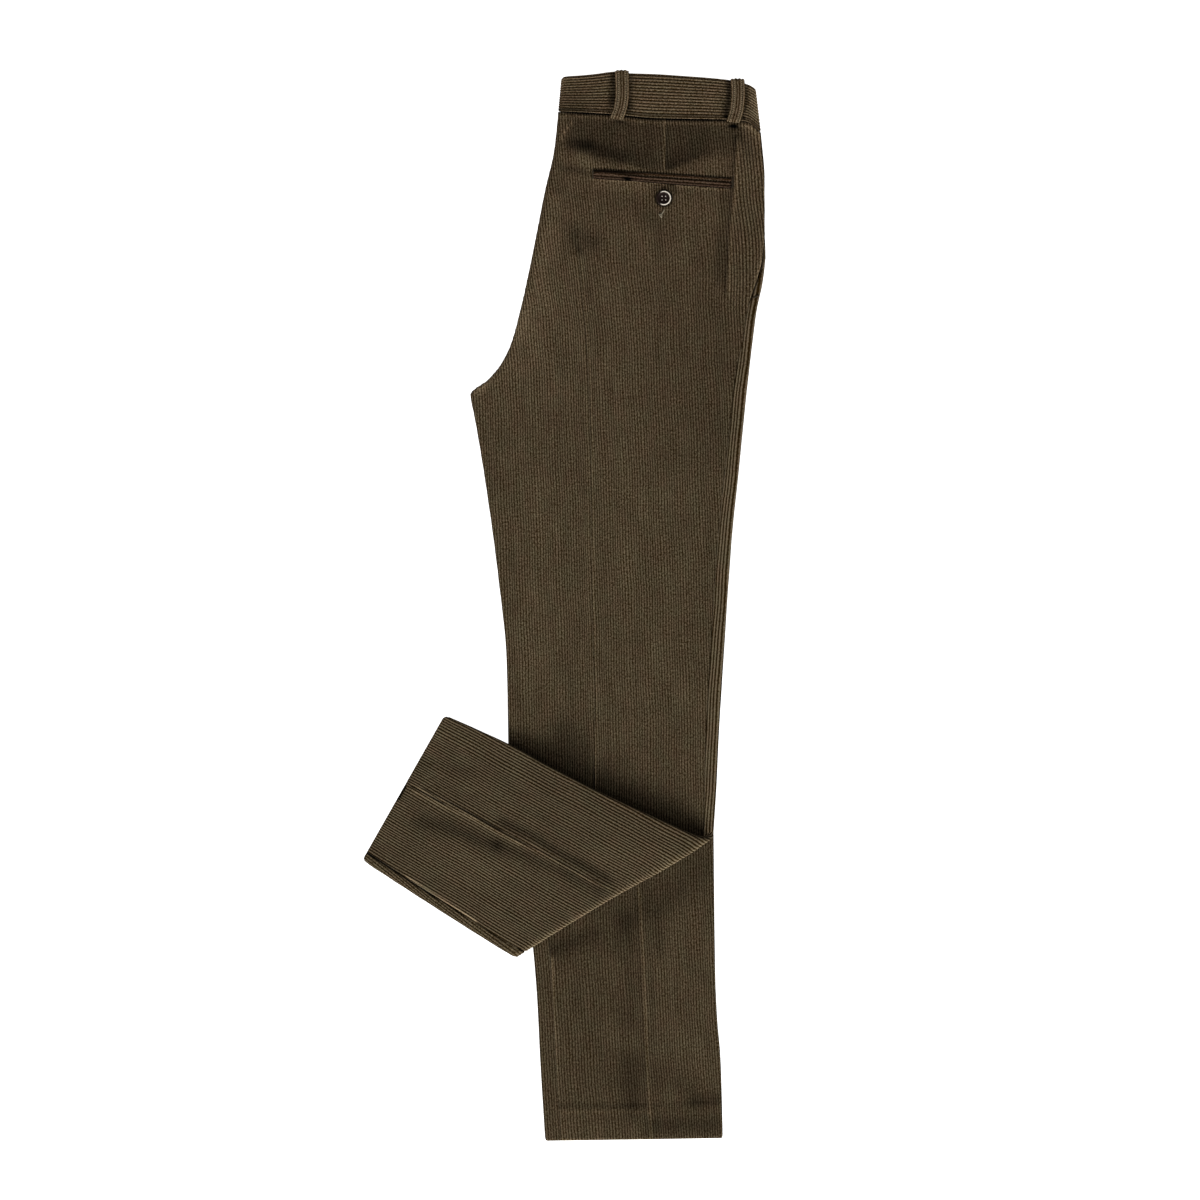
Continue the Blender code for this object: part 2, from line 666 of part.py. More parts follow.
def make_band(name, mirrored, material):
    outer, inner = [], []
    steps = 2 * BAND_WALES
    for station in band_stations():
        on_top = station[4] > 0.0 and not mirrored
        row = []
        for k in range(steps + 1):
            if not on_top and k not in (0, steps // 2, steps):
                continue
            at_edge = k in (0, steps)
            sunk = RELIEF if on_top and k % 2 == 1 else 0.7 if at_edge else 0.0
            row.append((k, band_point(station, k / steps, sunk, mirrored)))
        outer.append(row)
        inner.append([(k, band_point(station, k / steps, BAND_WALL, mirrored))
                      for k in (0, steps // 2, steps)])
    return wall_object(name, outer, inner, material)


def make_loop(name, loop, mirrored, material):
    """A strip over the waistband, from above its top edge to just below its seam."""
    columns = 10
    outer, inner = [], []
    for i in range(5):
        part = i / 4.0
        down = mix(loop.top_down, loop.bottom_down, part)
        left = mix(loop.top_x, loop.bottom_x, part)
        shown, hidden = [], []
        for k in range(columns + 1):
            x = left + LOOP_WIDTH * k / columns
            base = UPPER_TOP + BAND_RISE + LAID_ON_GAP + (0.0 if mirrored else crown(x, down))
            sunk = 0.5 if k in (0, columns) else 0.35 * (k % 2)
            heights = (base + LOOP_THICKNESS - sunk, base)
            if mirrored:
                heights = (MIRROR_Z - heights[0], MIRROR_Z - heights[1])
            if k % 2 == 0 or not mirrored:
                shown.append((k, place(x, down, heights[0])))
            if k in (0, columns // 2, columns):
                hidden.append((k, place(x, down, heights[1])))
        outer.append(shown)
        inner.append(hidden)
    return wall_object(name, outer, inner, material)


# What lies on the hip

def hip_height(x, down):
    return UPPER_TOP + crown(x, down) + LAID_ON_GAP


def make_lip(name, offset, width, material):
    """One welt of the back pocket: a rounded strip laid on the panel."""
    outer, inner = [], []
    across = (0.0, 0.25, 0.75, 1.0)
    for i in range(9):
        x = mix(POCKET_LEFT, POCKET_RIGHT, i / 8.0)
        start = POCKET_DOWN + offset + POCKET_SLOPE * (x - POCKET_LEFT)
        shown, hidden = [], []
        for k, part in enumerate(across):
            down = start + width * part
            low = 0.5 if part in (0.0, 1.0) else 0.0
            shown.append((k, place(x, down, hip_height(x, down) + LIP_THICKNESS - low)))
            hidden.append((k, place(x, down, hip_height(x, down))))
        outer.append(shown)
        inner.append(hidden)
    return wall_object(name, outer, inner, material)


def make_button(material, cutters):
    """A turned button with a raised rim and four sewing holes."""
    radius = BUTTON_DIAMETER / 2.0
    profile = [(0.0, 0.0), (radius - 0.8, 0.0), (radius, 0.9), (radius, BUTTON_THICKNESS - 0.8),
               (radius - 0.7, BUTTON_THICKNESS), (radius - BUTTON_RIM + 0.5, BUTTON_THICKNESS),
               (radius - BUTTON_RIM - 0.3, BUTTON_THICKNESS - BUTTON_DISH),
               (0.0, BUTTON_THICKNESS - BUTTON_DISH)]
    bm = bmesh.new()
    verts = [bm.verts.new((x * MM, 0.0, z * MM)) for x, z in profile[::-1]]
    for a, b in zip(verts, verts[1:]):
        bm.edges.new((a, b))
    mesh = bpy.data.meshes.new("pocket_button")
    bm.to_mesh(mesh)
    bm.free()
    mesh.materials.append(material)
    button = bpy.data.objects.new("pocket_button", mesh)
    bpy.data.collections[COLLECTION].objects.link(button)
    screw = button.modifiers.new("turn", "SCREW")
    screw.angle = 2.0 * math.pi
    screw.steps = screw.render_steps = 32
    screw.use_merge_vertices = True
    screw.merge_threshold = 0.00001
    screw.use_normal_calculate = True
    height = UPPER_TOP + crown(BUTTON_X, BUTTON_DOWN) + LAID_ON_GAP
    button.location = place(BUTTON_X, BUTTON_DOWN, height)
    for i in range(4):
        turn = math.pi / 4.0 + math.pi / 2.0 * i
        reach = BUTTON_HOLE_SPACING / math.sqrt(2.0)
        bm = bmesh.new()
        bmesh.ops.create_cone(bm, cap_ends=True, segments=12, radius1=BUTTON_HOLE_RADIUS * MM,
                              radius2=BUTTON_HOLE_RADIUS * MM, depth=12.0 * MM,
                              matrix=Matrix.Identity(4))
        mesh = bpy.data.meshes.new("button_hole")
        bm.to_mesh(mesh)
        bm.free()
        cutter = bpy.data.objects.new(f"button_hole_{i + 1}", mesh)
        cutters.objects.link(cutter)
        cutter.location = button.location + Vector((math.cos(turn), math.sin(turn), 0.0)) * reach * MM
        cutter.hide_render = True
        cutter.display_type = "WIRE"
        cut = button.modifiers.new(f"hole_{i + 1}", "BOOLEAN")
        cut.operation = "DIFFERENCE"
        cut.solver = "EXACT"
        cut.object = cutter
    return button


COLLECTION = "corduroy_trousers"


def main():
    for old in list(bpy.data.objects):
        bpy.data.objects.remove(old, do_unlink=True)
    parts = bpy.data.collections.new(COLLECTION)
    cutters = bpy.data.collections.new("cutters")
    bpy.context.scene.collection.children.link(parts)
    bpy.context.scene.collection.children.link(cutters)

    def corduroy(node):
        return principled(node, CORDUROY, 0.92, sheen=0.4)

    make_back_right(corduroy("back_panel_right"))
    make_front_right(corduroy("front_panel_right"))
    make_front_left(corduroy("front_panel_left"))
    make_back_left(corduroy("back_panel_left"))
    make_core(corduroy("inner_layers"))
    for side, mirrored in (("right", False), ("left", True)):
        make_band(f"waistband_{side}", mirrored, corduroy(f"waistband_{side}"))
        for loop in LOOPS:
            name = f"{loop.name}_{side}"
            make_loop(name, loop, mirrored, corduroy(name))
    make_lip("pocket_welt_upper", 0.0, UPPER_LIP, corduroy("pocket_welt_upper"))
    make_lip("pocket_welt_lower", UPPER_LIP + SLIT, LOWER_LIP, corduroy("pocket_welt_lower"))
    make_button(principled("pocket_button", HORN, 0.35), cutters)


main()
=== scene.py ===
"""Wide-wale corduroy trousers, folded lengthwise and laid flat, on a pale studio floor.

Each panel is a closed wall of cloth with its wales modelled outside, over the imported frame.
Lengths in the tables and the maps are in millimetres: `x` is measured to the right of the
garment's middle, `down` from the waistband's highest point towards the hems, and `z` up from the
table. They become metres where a mesh is made.
"""
import math
from collections import namedtuple

import bmesh
import bpy
import numpy as np
from mathutils import Matrix, Vector


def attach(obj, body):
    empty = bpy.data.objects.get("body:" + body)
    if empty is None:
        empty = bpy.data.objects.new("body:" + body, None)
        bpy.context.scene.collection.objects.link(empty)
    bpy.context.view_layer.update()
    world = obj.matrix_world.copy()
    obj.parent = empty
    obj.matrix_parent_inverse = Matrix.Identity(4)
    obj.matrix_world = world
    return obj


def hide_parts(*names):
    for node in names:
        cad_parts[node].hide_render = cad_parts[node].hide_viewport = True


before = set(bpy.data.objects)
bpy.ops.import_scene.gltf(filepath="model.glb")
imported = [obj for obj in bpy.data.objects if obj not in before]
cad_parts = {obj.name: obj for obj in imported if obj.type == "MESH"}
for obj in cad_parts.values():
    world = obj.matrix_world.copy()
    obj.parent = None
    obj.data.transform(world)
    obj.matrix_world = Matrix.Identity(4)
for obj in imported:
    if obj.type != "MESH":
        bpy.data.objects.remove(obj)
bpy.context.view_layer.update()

BODY = "root"

bl_info = {
    "name": "Folded corduroy trousers",
    "version": (1, 0, 0),
    "blender": (4, 5, 0),
    "location": "3D View > Sidebar > Trousers",
    "description": "Detailed cloth, sewing and studio for folded corduroy trousers",
    "category": "Object",
}

MM = 0.001

# Sizes that the frame sets, in millimetres. They are the same as in the solids, apart from
# the gap at the slanted pocket, which is 1.2 there.
OUTSEAM = 1070.0
SEAM_GAP = 0.3
ROLL_GAP = 1.4              # where the seams twist in the roll
POCKET_GAP = 1.6            # at the slit of the slanted front pocket
WAIST_GAP = 0.5
WALL = 1.8
WALE = 2.65
LEG_HEIGHT = 6.0
BAND_WALL = 2.4
BAND_RISE = 0.6
BAND_HEIGHT = 42.0
BAND_WALES = 14
LOOP_WIDTH = 14.0
LOOP_THICKNESS = 1.7
WAIST_LIFT = 3.0
UPPER_BASE = LEG_HEIGHT + SEAM_GAP
UPPER_TOP = UPPER_BASE + LEG_HEIGHT
MIRROR_Z = UPPER_TOP
EDGE_RADIUS = LEG_HEIGHT / 2.0
QUARTER_TURN = EDGE_RADIUS * math.pi / 2.0
SEAT_ROUNDING = 9.0
SEAT_TURN = 11.9            # length of cloth in the seat's turn at the centre back

FOLD_LEFT_DOWN, FOLD_RIGHT_DOWN = 886.0, 767.0
FOLD_LEFT = np.array((-47.5, -FOLD_LEFT_DOWN))
FOLD_RIGHT = np.array((147.5, -FOLD_RIGHT_DOWN))
FOLD_ALONG = (FOLD_RIGHT - FOLD_LEFT) / np.linalg.norm(FOLD_RIGHT - FOLD_LEFT)
FOLD_PAST = np.array((FOLD_ALONG[1], -FOLD_ALONG[0]))
FOLD_INNER_RADIUS = 0.4
FOLD_AXIS_Z = UPPER_TOP + FOLD_INNER_RADIUS
ROLL_RADIUS = FOLD_AXIS_Z - UPPER_BASE
ROLL_LENGTH = 2.0 * ROLL_RADIUS
ROLL_START = FOLD_LEFT - ROLL_RADIUS * FOLD_PAST
TURNED_BASE = FOLD_AXIS_Z + FOLD_INNER_RADIUS
DROOP_RUN = 75.0

SIDE_STRIP = 14.0
UPPER_INSEAM_LIP = 9.0
LOWER_INSEAM_LIP = 16.0
HIDDEN_WRAP = 18.0
HIDDEN_END = -20.0
FULL_FRONT_START = -8.0
CROTCH_START, CROTCH_END = 300.0, 323.0
ROW_LEFT_X, ROW_RIGHT_X = -50.0, 150.0
TURNED_HEM = (1068.6, 1060.4)   # how far down the hems lie at those two places
LOWER_HEM = (1070.0, 1067.0)

# The finer shape of the cloth's edges
SEAM_TURN = 1.6             # how far in from a seam the cloth turns down into it
SEAM_DROP = 0.40
HEM_ROWS = (2.2, 1.2, 0.5)      # how far above a hem its last rows lie
HEM_DROPS = (0.7, 0.25, 0.08)   # how far rows turn down there, from the hem inwards
EDGE_FADE = 10.0            # from a leg's side to where folds have their full height
COLUMNS_PER_WALE = 4

# The studio, in metres
FLOOR_REACH = 6.0           # from the middle to each side
LEFT_LIGHT = (-4.36, -6.22, 2.47)
RIGHT_LIGHT = (4.89, -5.82, 2.47)
FILL_LIGHT = (0.1, 0.2, 2.6)
SIDE_LIGHT_SIZE = 1.4
FILL_LIGHT_SIZE = 2.4
SENSOR_WIDTH = 36.0         # in millimetres, as Blender takes it
PHOTO_SPAN = 1.2            # across the photograph's frame, at the table
PHOTO_CENTRE = (0.0355, 0.006)

Pair = namedtuple("Pair", "at value")


def table(*numbers):
    """Pairs of a position and its value, from a flat run of numbers."""
    return [Pair(*numbers[i:i + 2]) for i in range(0, len(numbers), 2)]


# Edges of the legs: how far down, and x. They are the solids' within 5 mm.
UPPER_LEFT = table(
    0, -3.5, 41, -6.5, 79, -10.5, 119, -19.5, 199, -35.5, 239, -44.5, 272, -53.5, 296, -65.5,
    309, -78.5, 318, -90.5, 323, -94.2, 330, -93.3, 349, -89.5, 419, -78.0, 500, -67.0,
    589, -58.0, 649, -56.5, 729, -55.5, 809, -52.5, 886, -48.5, 960, -43.0, 1072, -32.0)
UPPER_RIGHT = table(
    0, 185.0, 19, 191.5, 62, 196.3, 109, 200.3, 174, 200.6, 186, 201.2, 199, 200.0, 214, 197.9,
    239, 192.4, 269, 188.4, 319, 182.6, 379, 176.6, 469, 167.6, 549, 161.8, 649, 155.2,
    767, 148.4, 788, 142.6, 835, 139.9, 870, 138.2, 905, 137.2, 950, 137.4, 985, 138.6,
    1072, 134.2)
LOWER_LEFT_FREE = table(
    590, -56.5, 649, -54.5, 729, -49.0, 809, -39.5, 879, -31.5, 929, -27.5, 989, -24.5,
    1070, -19.5)
LOWER_RIGHT_FREE = table(
    649, 153.0, 719, 149.0, 767, 149.5, 869, 150.5, 929, 152.0, 1000, 157.0, 1070, 158.6)
# Width of the front that shows inside the upper leg's right edge, at a place down it
SIDE_SEAM = table(168, 0.0, 178, 3.7, 191, 5.0, 209, 7.4, 221, 9.2, 232, 10.0, 267, 10.5,
                  292, 13.0, 322, 13.8, 494, 14.5, 570, SIDE_STRIP, 668, 13.5, 745, 12.0,
                  1072, 12.0)
# How far the upper leg swells in its middle, at a place down it
CROWN = table(0, 1.6, 60, 2.4, 110, 3.8, 180, 4.4, 250, 3.4, 340, 2.2, 450, 1.5, 560, 0.9,
              640, 0.0)
# How far the fold's edge stands out from a straight line, at x
FOLD_BOW = table(-47, 0.0, -20, -0.7, 15, -1.0, 50, -0.6, 70, 0.3, 95, 1.8, 120, 2.1,
                 147, 0.5)
# The same for the turned end and the lower leg, at a distance past the roll's start
TURNED_SWELL = table(13, 0.0, 80, 1.2, 200, 1.2, 300, 0.4)
LOWER_SWELL = table(14, 0.0, 80, 1.1, 220, 1.1, 330, 0.4)
# Edges of the waistband, at a share of its width from the left
BAND_TOP = table(0.00, 8.6, 0.02, 6.4, 0.10, 5.4, 0.20, 3.4, 0.27, 1.6, 0.34, 3.2, 0.47, 4.0,
                 0.60, 5.6, 0.84, 9.4, 0.93, 12.8, 0.97, 15.4, 1.00, 19.2)
BAND_BOTTOM = table(0.00, 41.0, 0.27, 44.0, 0.34, 45.5, 0.47, 48.0, 0.84, 49.5, 0.93, 51.5,
                    1.00, 62.0)
BAND_LEFT = (-3.5, -6.5)
BAND_RIGHT = (191.4, 196.4)

# The back pocket, the dart above it and its button
POCKET_LEFT, POCKET_RIGHT = 28.5, 167.5
POCKET_DOWN = 99.3          # of the pocket's upper left corner
POCKET_SLOPE = 9.2 / 139.0
UPPER_LIP = 2.4
SLIT = 1.2
LOWER_LIP = 5.6
LIP_GAP = 0.12              # between a welt and the panel under it
LIP_THICKNESS = 0.8
WELT_DENT_X = 63.0          # where the lower welt dips
DART_X = 99.8
BUTTON_X, BUTTON_DOWN = 99.2, 127.9
BUTTON_THICKNESS = 2.8
HOLE_RADIUS = 0.9
HOLE_REACH = 2.1            # from the button's middle to a hole's
HOLE_DEPTH = 12.0           # of the cutters, which stand out on both sides
LAID_ON_GAP = 0.4           # under the button and the belt loops
LOOP_STITCHES = 3.3         # in from a belt loop's edges
FRONT_POCKET_START, FRONT_POCKET_END = 176.0, 232.0
FRONT_TACK = (191.3, 226.0)     # x and down of the tack at that slanted pocket's foot
TACK_WIDTH = 1.8
# Radii of the threads
TACK_THREAD = 0.30
LOOP_THREAD = 0.40
BUTTON_THREAD = 0.52
LOOSE_THREAD = 0.42
# The loose thread below the button, as stretches between points (x, down)
LOOSE_TICK = (((99.8, 139.5), (97.4, 143.6)), ((97.4, 143.6), (96.9, 147.4)),
              ((96.9, 147.4), (94.2, 143.6)), ((97.4, 143.6), (95.4, 144.4)))

LoopPlace = namedtuple("LoopPlace", "name top_down bottom_down foot_slope left")
LOOPS = [
    LoopPlace("belt_loop_back", 0.2, 49.6, 0.8, table(0.0, 50.2, 0.45, 50.8, 0.7, 49.6,
                                                      1.0, 45.0)),
    LoopPlace("belt_loop_side", 8.6, 52.6, 0.8, table(0.0, 165.6, 0.3, 166.5, 0.65, 165.4,
                                                      1.0, 161.4)),
]

# How the wales lie: how far down, and how far they have moved to the right there
UPPER_LEAN = table(0, -20.0, 60, -15.5, 120, -10.5, 180, -6.0, 250, 0.0, 330, 4.0, 450, 8.5,
                   590, 13.0, 700, 15.2, 800, 15.5, 1072, 15.5)
LOWER_LEAN = table(770, 0.0, 880, 4.2, 980, 9.5, 1070, 16.0)
FRONT_LEAN_LEFT = 0.066     # slopes of the front's wales past the fold
FRONT_LEAN_RIGHT = 0.012
FRONT_STRETCH = 0.10
EDGE_GRAIN = 18.0           # how far in from the side edge the wales above the fold follow it
LOWER_FAN = 0.055
HIP_STRETCH = 0.15          # wider wales in front of the fold at the side of the hip
HIP_FOLD = table(60, 170.5, 73, 170, 115, 167.5, 157, 163.5, 199, 161.5, 222, 160.5)
CREASE_PINCH = 0.11         # wales lie closer together over a pressed crease
CREASE_PINCH_WIDTH = 18.0
UPPER_CREASE_U = 15.0
LOWER_CREASE_U = 72.0

# Pressed creases: how far down, and x
BACK_CREASE = table(150, 9.0, 187, 14.5, 232, 18.5, 282, 22.5, 381, 26.5, 529, 27.5, 629, 30.5,
                    684, 29.5, 760, 30.0)
FRONT_CREASE_TURNED = table(790, 56.5, 900, 55.8, 1070, 56.2)
FRONT_CREASE_LOWER = table(800, 70.5, 818, 74.0, 853, 76.8, 896, 79.2, 995, 83.2, 1027, 85.0,
                           1066, 86.5)
# The yoke's lower edge, and how much painted shade darkens the cloth above it: x, and the value
# there
YOKE_EDGE = table(-10, 76, 0, 79.5, 30, 86, 62, 94, 90, 101, 100, 101, 116, 95, 140, 86, 166, 79,
                  180, 76)
YOKE_DARK = table(-8, 0.0, 6, 0.40, 20, 0.60, 55, 0.57, 80, 0.56, 97, 0.50, 103, 0.62,
                  130, 0.62, 150, 0.46, 166, 0.34, 182, 0.0)
# Where the turned end shades the leg above it, and how far up the shade reaches
SHADOW_EDGE = table(-60, 671, -50, 676, -34, 684, -4.5, 700.6, 25.5, 716, 55.5, 731.4, 85.5, 745,
                    115.5, 757.5, 148, 768)
SHADOW_DEPTH = table(-60, 10, -24, 27, 2, 49, 26, 47, 30, 32, 51, 35, 88, 36, 113, 33, 148, 10)
# Painted shade where the cloth turns down at an outline
OUTLINE_SHADE = 0.3          # of cloth that turns down at an outline
TURNED_TONE = 0.79          # of the front on the turned end
LOWER_TONE = 0.92           # of the front on the lower leg

# The soft troughs and ridges of the top surfaces, and the light and shade painted on them. A stroke
# follows its points, (x, down), as they lie in the folded garment; its rise is in millimetres and
# its tone, painted light above 0 and painted shade below it, is a share of the cloth's own.
Stroke = namedtuple("Stroke", "width rise tone points")
BACK_STROKES = [
    # painted light on the small fold at the waist seam's left end
    Stroke(1.2, 0.9, 0.95, ((9, 50), (2, 59), (-6, 69.5))),
    Stroke(5.0, 0.0, 0.20, ((0, 52), (-4, 58))),
    # painted shade and light along the yoke's lower edge
    Stroke(6.0, -0.6, -0.16, ((4, 73), (26, 75), (60, 85))),
    Stroke(3.5, -0.4, -0.14, ((106, 96), (135, 87), (170, 80))),
    Stroke(5.0, 0.6, 0.14, ((147, 93), (166, 88))),
    Stroke(6.0, 0.5, 0.14, ((18, 86), (28, 92))),
    Stroke(5.0, -0.2, -0.18, ((8, 73), (25, 75))),
    Stroke(9.0, 0.0, -0.08, ((122, 99), (150, 96), (168, 92))),
    Stroke(5.0, 0.0, -0.22, ((32, 88), (56, 93))),
    # painted shade and light on the seat, left of the pocket
    Stroke(4.0, -0.6, -0.34, ((7, 97), (20, 101))),
    Stroke(4.0, -0.5, -0.24, ((-8, 93), (1, 98))),
    Stroke(5.0, -0.4, -0.10, ((-13, 102), (-9, 119))),
    Stroke(5.0, 0.5, 0.16, ((-29, 123), (-5, 125))),
    Stroke(5.0, -0.2, -0.15, ((-4, 151), (8, 157))),
    Stroke(10.0, -0.8, -0.40, ((12, 166), (30, 171))),
    Stroke(3.0, -0.7, -0.48, ((14, 179), (16.5, 182))),
    Stroke(12.0, 0.0, 0.20, ((-8, 140), (-16, 184))),
    Stroke(16.0, 0.0, 0.12, ((-22, 165), (-30, 215), (-45, 255))),
    Stroke(32.0, 0.0, 0.20, ((-40, 210), (-60, 300))),
    # painted shade and light along both edges of the back pocket, and round its button
    Stroke(1.0, -0.3, -0.62, ((40, 99.4), (64, 101.0), (82, 102.3), (121.5, 104.9), (166, 107.9))),
    Stroke(0.9, 0.3, 0.55, ((29.5, 108.8), (60, 110.8), (100, 113.2))),
    Stroke(0.9, 0.3, 0.60, ((112, 115.2), (121.5, 116.7), (163, 119.6))),
    Stroke(7.0, 0.0, 0.26, ((34, 114), (86, 119))),
    Stroke(9.0, -0.3, -0.16, ((68, 131), (86, 147))),
    Stroke(4.0, 0.2, 0.10, ((64, 159), (86, 163), (104, 158))),
    Stroke(12.0, 0.0, -0.11, ((95, 155), (98, 185))),
    Stroke(14.0, 0.0, 0.12, ((122, 135), (150, 145))),
    # painted shade and light on the fold down the side of the hip
    Stroke(2.0, -0.8, -0.27, ((170.5, 66), (170, 73), (167.5, 115), (163.5, 157), (161.5, 199),
                              (160.5, 222))),
    Stroke(1.7, 0.8, 0.40, ((173.7, 70), (171.3, 115), (167, 157), (165, 199), (164, 222))),
    Stroke(7.0, 0.6, 0.0, ((176, 70), (173, 115), (169, 157), (167, 210))),
    Stroke(6.0, 0.0, -0.23, ((160, 112), (157.5, 150), (155, 212))),
    Stroke(7.0, -0.4, -0.24, ((174, 64), (187, 84))),
    Stroke(4.0, 0.3, 0.26, ((186, 57), (197, 71))),
    Stroke(14.0, 0.0, -0.10, ((182, 70), (182, 165))),
    # painted light on the edge at the crotch, and painted shade on the leg just below it
    Stroke(7.0, 0.0, 0.45, ((-44, 242), (-54, 270), (-70, 298), (-88, 317))),
    Stroke(3.5, 0.0, 0.40, ((-47, 255), (-55, 278), (-70, 303), (-88, 319))),
    Stroke(1.5, 0.3, 0.50, ((-80, 316), (-71.5, 305))),
    Stroke(3.0, 0.0, -0.30, ((-94, 320), (-91, 340))),
    Stroke(18.0, 0.0, -0.12, ((-38, 320), (-22, 345))),
    Stroke(18.0, 0.0, -0.10, ((-60, 372), (-30, 385))),
    # wide painted light and shade down the leg
    Stroke(30.0, 0.0, 0.10, ((-20, 240), (-40, 430), (-30, 600))),
    Stroke(26.0, 0.0, -0.14, ((165, 200), (150, 379))),
    Stroke(40.0, 0.0, -0.07, ((110, 250), (110, 340))),
    Stroke(16.0, 0.0, -0.09, ((-75, 400), (-60, 520), (-50, 620))),
    Stroke(32.0, 0.0, 0.06, ((55, 185), (60, 500))),
    Stroke(14.0, 0.0, -0.06, ((145, 425), (140, 600))),
]
TURNED_STROKES = [
    # the front's crease: painted shade lines with painted lit ones beside them, doubled near the
    # hem
    Stroke(0.8, -0.2, -1.00, ((-153, 715), (-137, 723.5), (-121, 732))),
    Stroke(1.3, 0.0, 0.46, ((-153.8, 713), (-137.8, 721.5), (-122, 730))),
    Stroke(0.8, -0.2, -0.72, ((-142, 717), (-113, 732), (-85, 746.8), (-64, 758.5))),
    Stroke(0.6, -0.2, -0.34, ((-64, 758.5), (-45, 769), (-23, 779), (0, 791.7), (24, 805.9),
                              (44, 815))),
    Stroke(2.0, 0.5, 0.42, ((-150.5, 719.6), (-118, 736), (-89, 747.6), (-64, 761.6),
                            (-45, 772))),
    Stroke(0.8, 0.0, 0.46, ((-62, 758), (-45, 767.6), (-23, 777.6), (0, 790.3), (24, 804.5))),
    Stroke(1.2, 0.2, 0.42, ((-146, 716.1), (-118, 731.0), (-88, 747.2))),
    Stroke(0.9, 0.3, 0.45, ((-50, 769.5), (-23, 781), (0, 793.7), (24, 807.9), (44, 817))),
    # hollows and swells on both sides of it, with their painted shade and light
    Stroke(9.0, -0.5, -0.34, ((-142, 750), (-126, 753), (-95, 764), (-68, 773))),
    Stroke(7.0, -0.4, -0.28, ((-68, 773), (-34, 786), (-4, 798), (34, 818))),
    Stroke(5.0, -0.4, -0.34, ((-62, 750), (-35, 762), (-14, 776), (30, 799), (44, 808))),
    Stroke(14.0, 0.4, 0.12, ((-108, 778), (-70, 803))),
    Stroke(12.0, 0.2, 0.10, ((-90, 715), (-60, 735))),
    Stroke(7.0, -0.2, -0.10, ((-140, 690), (-90, 700))),
    Stroke(14.0, 0.0, 0.14, ((-130, 668), (-100, 668))),
    Stroke(16.0, 0.0, 0.12, ((40, 780), (100, 790))),
    # painted shade in the inseam near the hem, with a painted lit edge, and painted shadow at the
    # fold's right end
    Stroke(1.3, -0.7, -1.45, ((-162, 806.7), (-145, 817), (-127, 828), (-107, 840.8), (-92, 850))),
    Stroke(1.2, -0.3, -0.40, ((-88, 854), (-73, 863), (-56, 873))),
    Stroke(1.2, 0.3, 1.15, ((-160, 804.3), (-127, 825), (-107, 837.5), (-88, 850))),
    Stroke(2.2, -0.3, -0.75, ((120, 758.5), (147, 768))),
]
LOWER_STROKES = [
    # the shade below the fold
    Stroke(9.0, -0.2, -0.28, ((-15, 880), (30, 862))),
    Stroke(16.0, -0.2, -0.28, ((60, 850), (110, 822), (140, 800))),
    Stroke(14.0, 0.0, -0.10, ((-10, 885), (50, 870))),
    # painted shade in the hollows beside the front's crease
    Stroke(10.0, -0.2, -0.20, ((62, 850), (64, 880), (66, 950))),
    Stroke(13.0, -0.2, -0.36, ((66, 990), (68, 1040))),
    Stroke(6.0, -0.3, -0.20, ((92, 840), (95, 880))),
    Stroke(14.0, 0.0, -0.22, ((98, 1004), (122, 1018))),
    Stroke(40.0, 0.0, -0.13, ((20, 930), (30, 1010))),
    # the lit line beside the inseam
    Stroke(1.3, 0.2, 0.75, ((-12.3, 886), (-10.8, 932), (-8.8, 988), (-6.5, 1030))),
    # painted shade and light along the hem
    Stroke(3.0, -0.3, -0.20, ((-20, 1033), (60, 1034), (157, 1031))),
    Stroke(7.0, -0.3, -0.32, ((130, 1029), (157, 1026))),
    Stroke(1.1, 0.1, 0.28, ((-20, 1041), (87, 1041))),
    Stroke(11.0, 0.0, -0.39, ((92, 1054), (150, 1054))),
    Stroke(7.0, 0.0, 0.31, ((-16, 1046), (-8, 1060))),
]
BAND_STROKES = [
    # painted shade and light at the left end
    Stroke(9.0, 0.0, -0.16, ((0, 28), (25, 30))),
    Stroke(6.0, 0.0, -0.26, ((-5, 36), (15, 37))),
    Stroke(1.8, 0.0, -0.40, ((-3.5, 8), (-6.8, 42))),
    Stroke(4.0, 0.0, 0.20, ((0, 9), (14, 7))),
    # shade on both sides of each belt loop
    Stroke(1.4, 0.0, -0.80, ((49.2, 4), (49.6, 20), (48.2, 34), (44.6, 43))),
    Stroke(1.8, 0.0, -0.95, ((65.8, 4), (65.4, 24), (64.0, 36), (60.6, 45))),
    Stroke(3.0, 0.0, -0.90, ((163.6, 12), (164.0, 26), (161.5, 46))),
    Stroke(1.6, 0.0, -0.55, ((181.2, 14), (181.0, 34), (178.5, 48))),
    # painted light over the middle and on the right end
    Stroke(18.0, 0.0, 0.12, ((85, 25), (150, 28))),
    Stroke(7.0, 0.0, 0.42, ((188, 15), (194, 45))),
]
FRONT_STRIP_STROKES = [
    # painted shadow in the upper end of the slanted front pocket's mouth, and painted light at its
    # foot
    Stroke(2.0, 0.0, -0.85, ((201, 172), (201.5, 186), (200.5, 196))),
    Stroke(3.0, 0.0, 0.20, ((196, 214), (192, 228))),
]


# Values, curves and maps on arrays

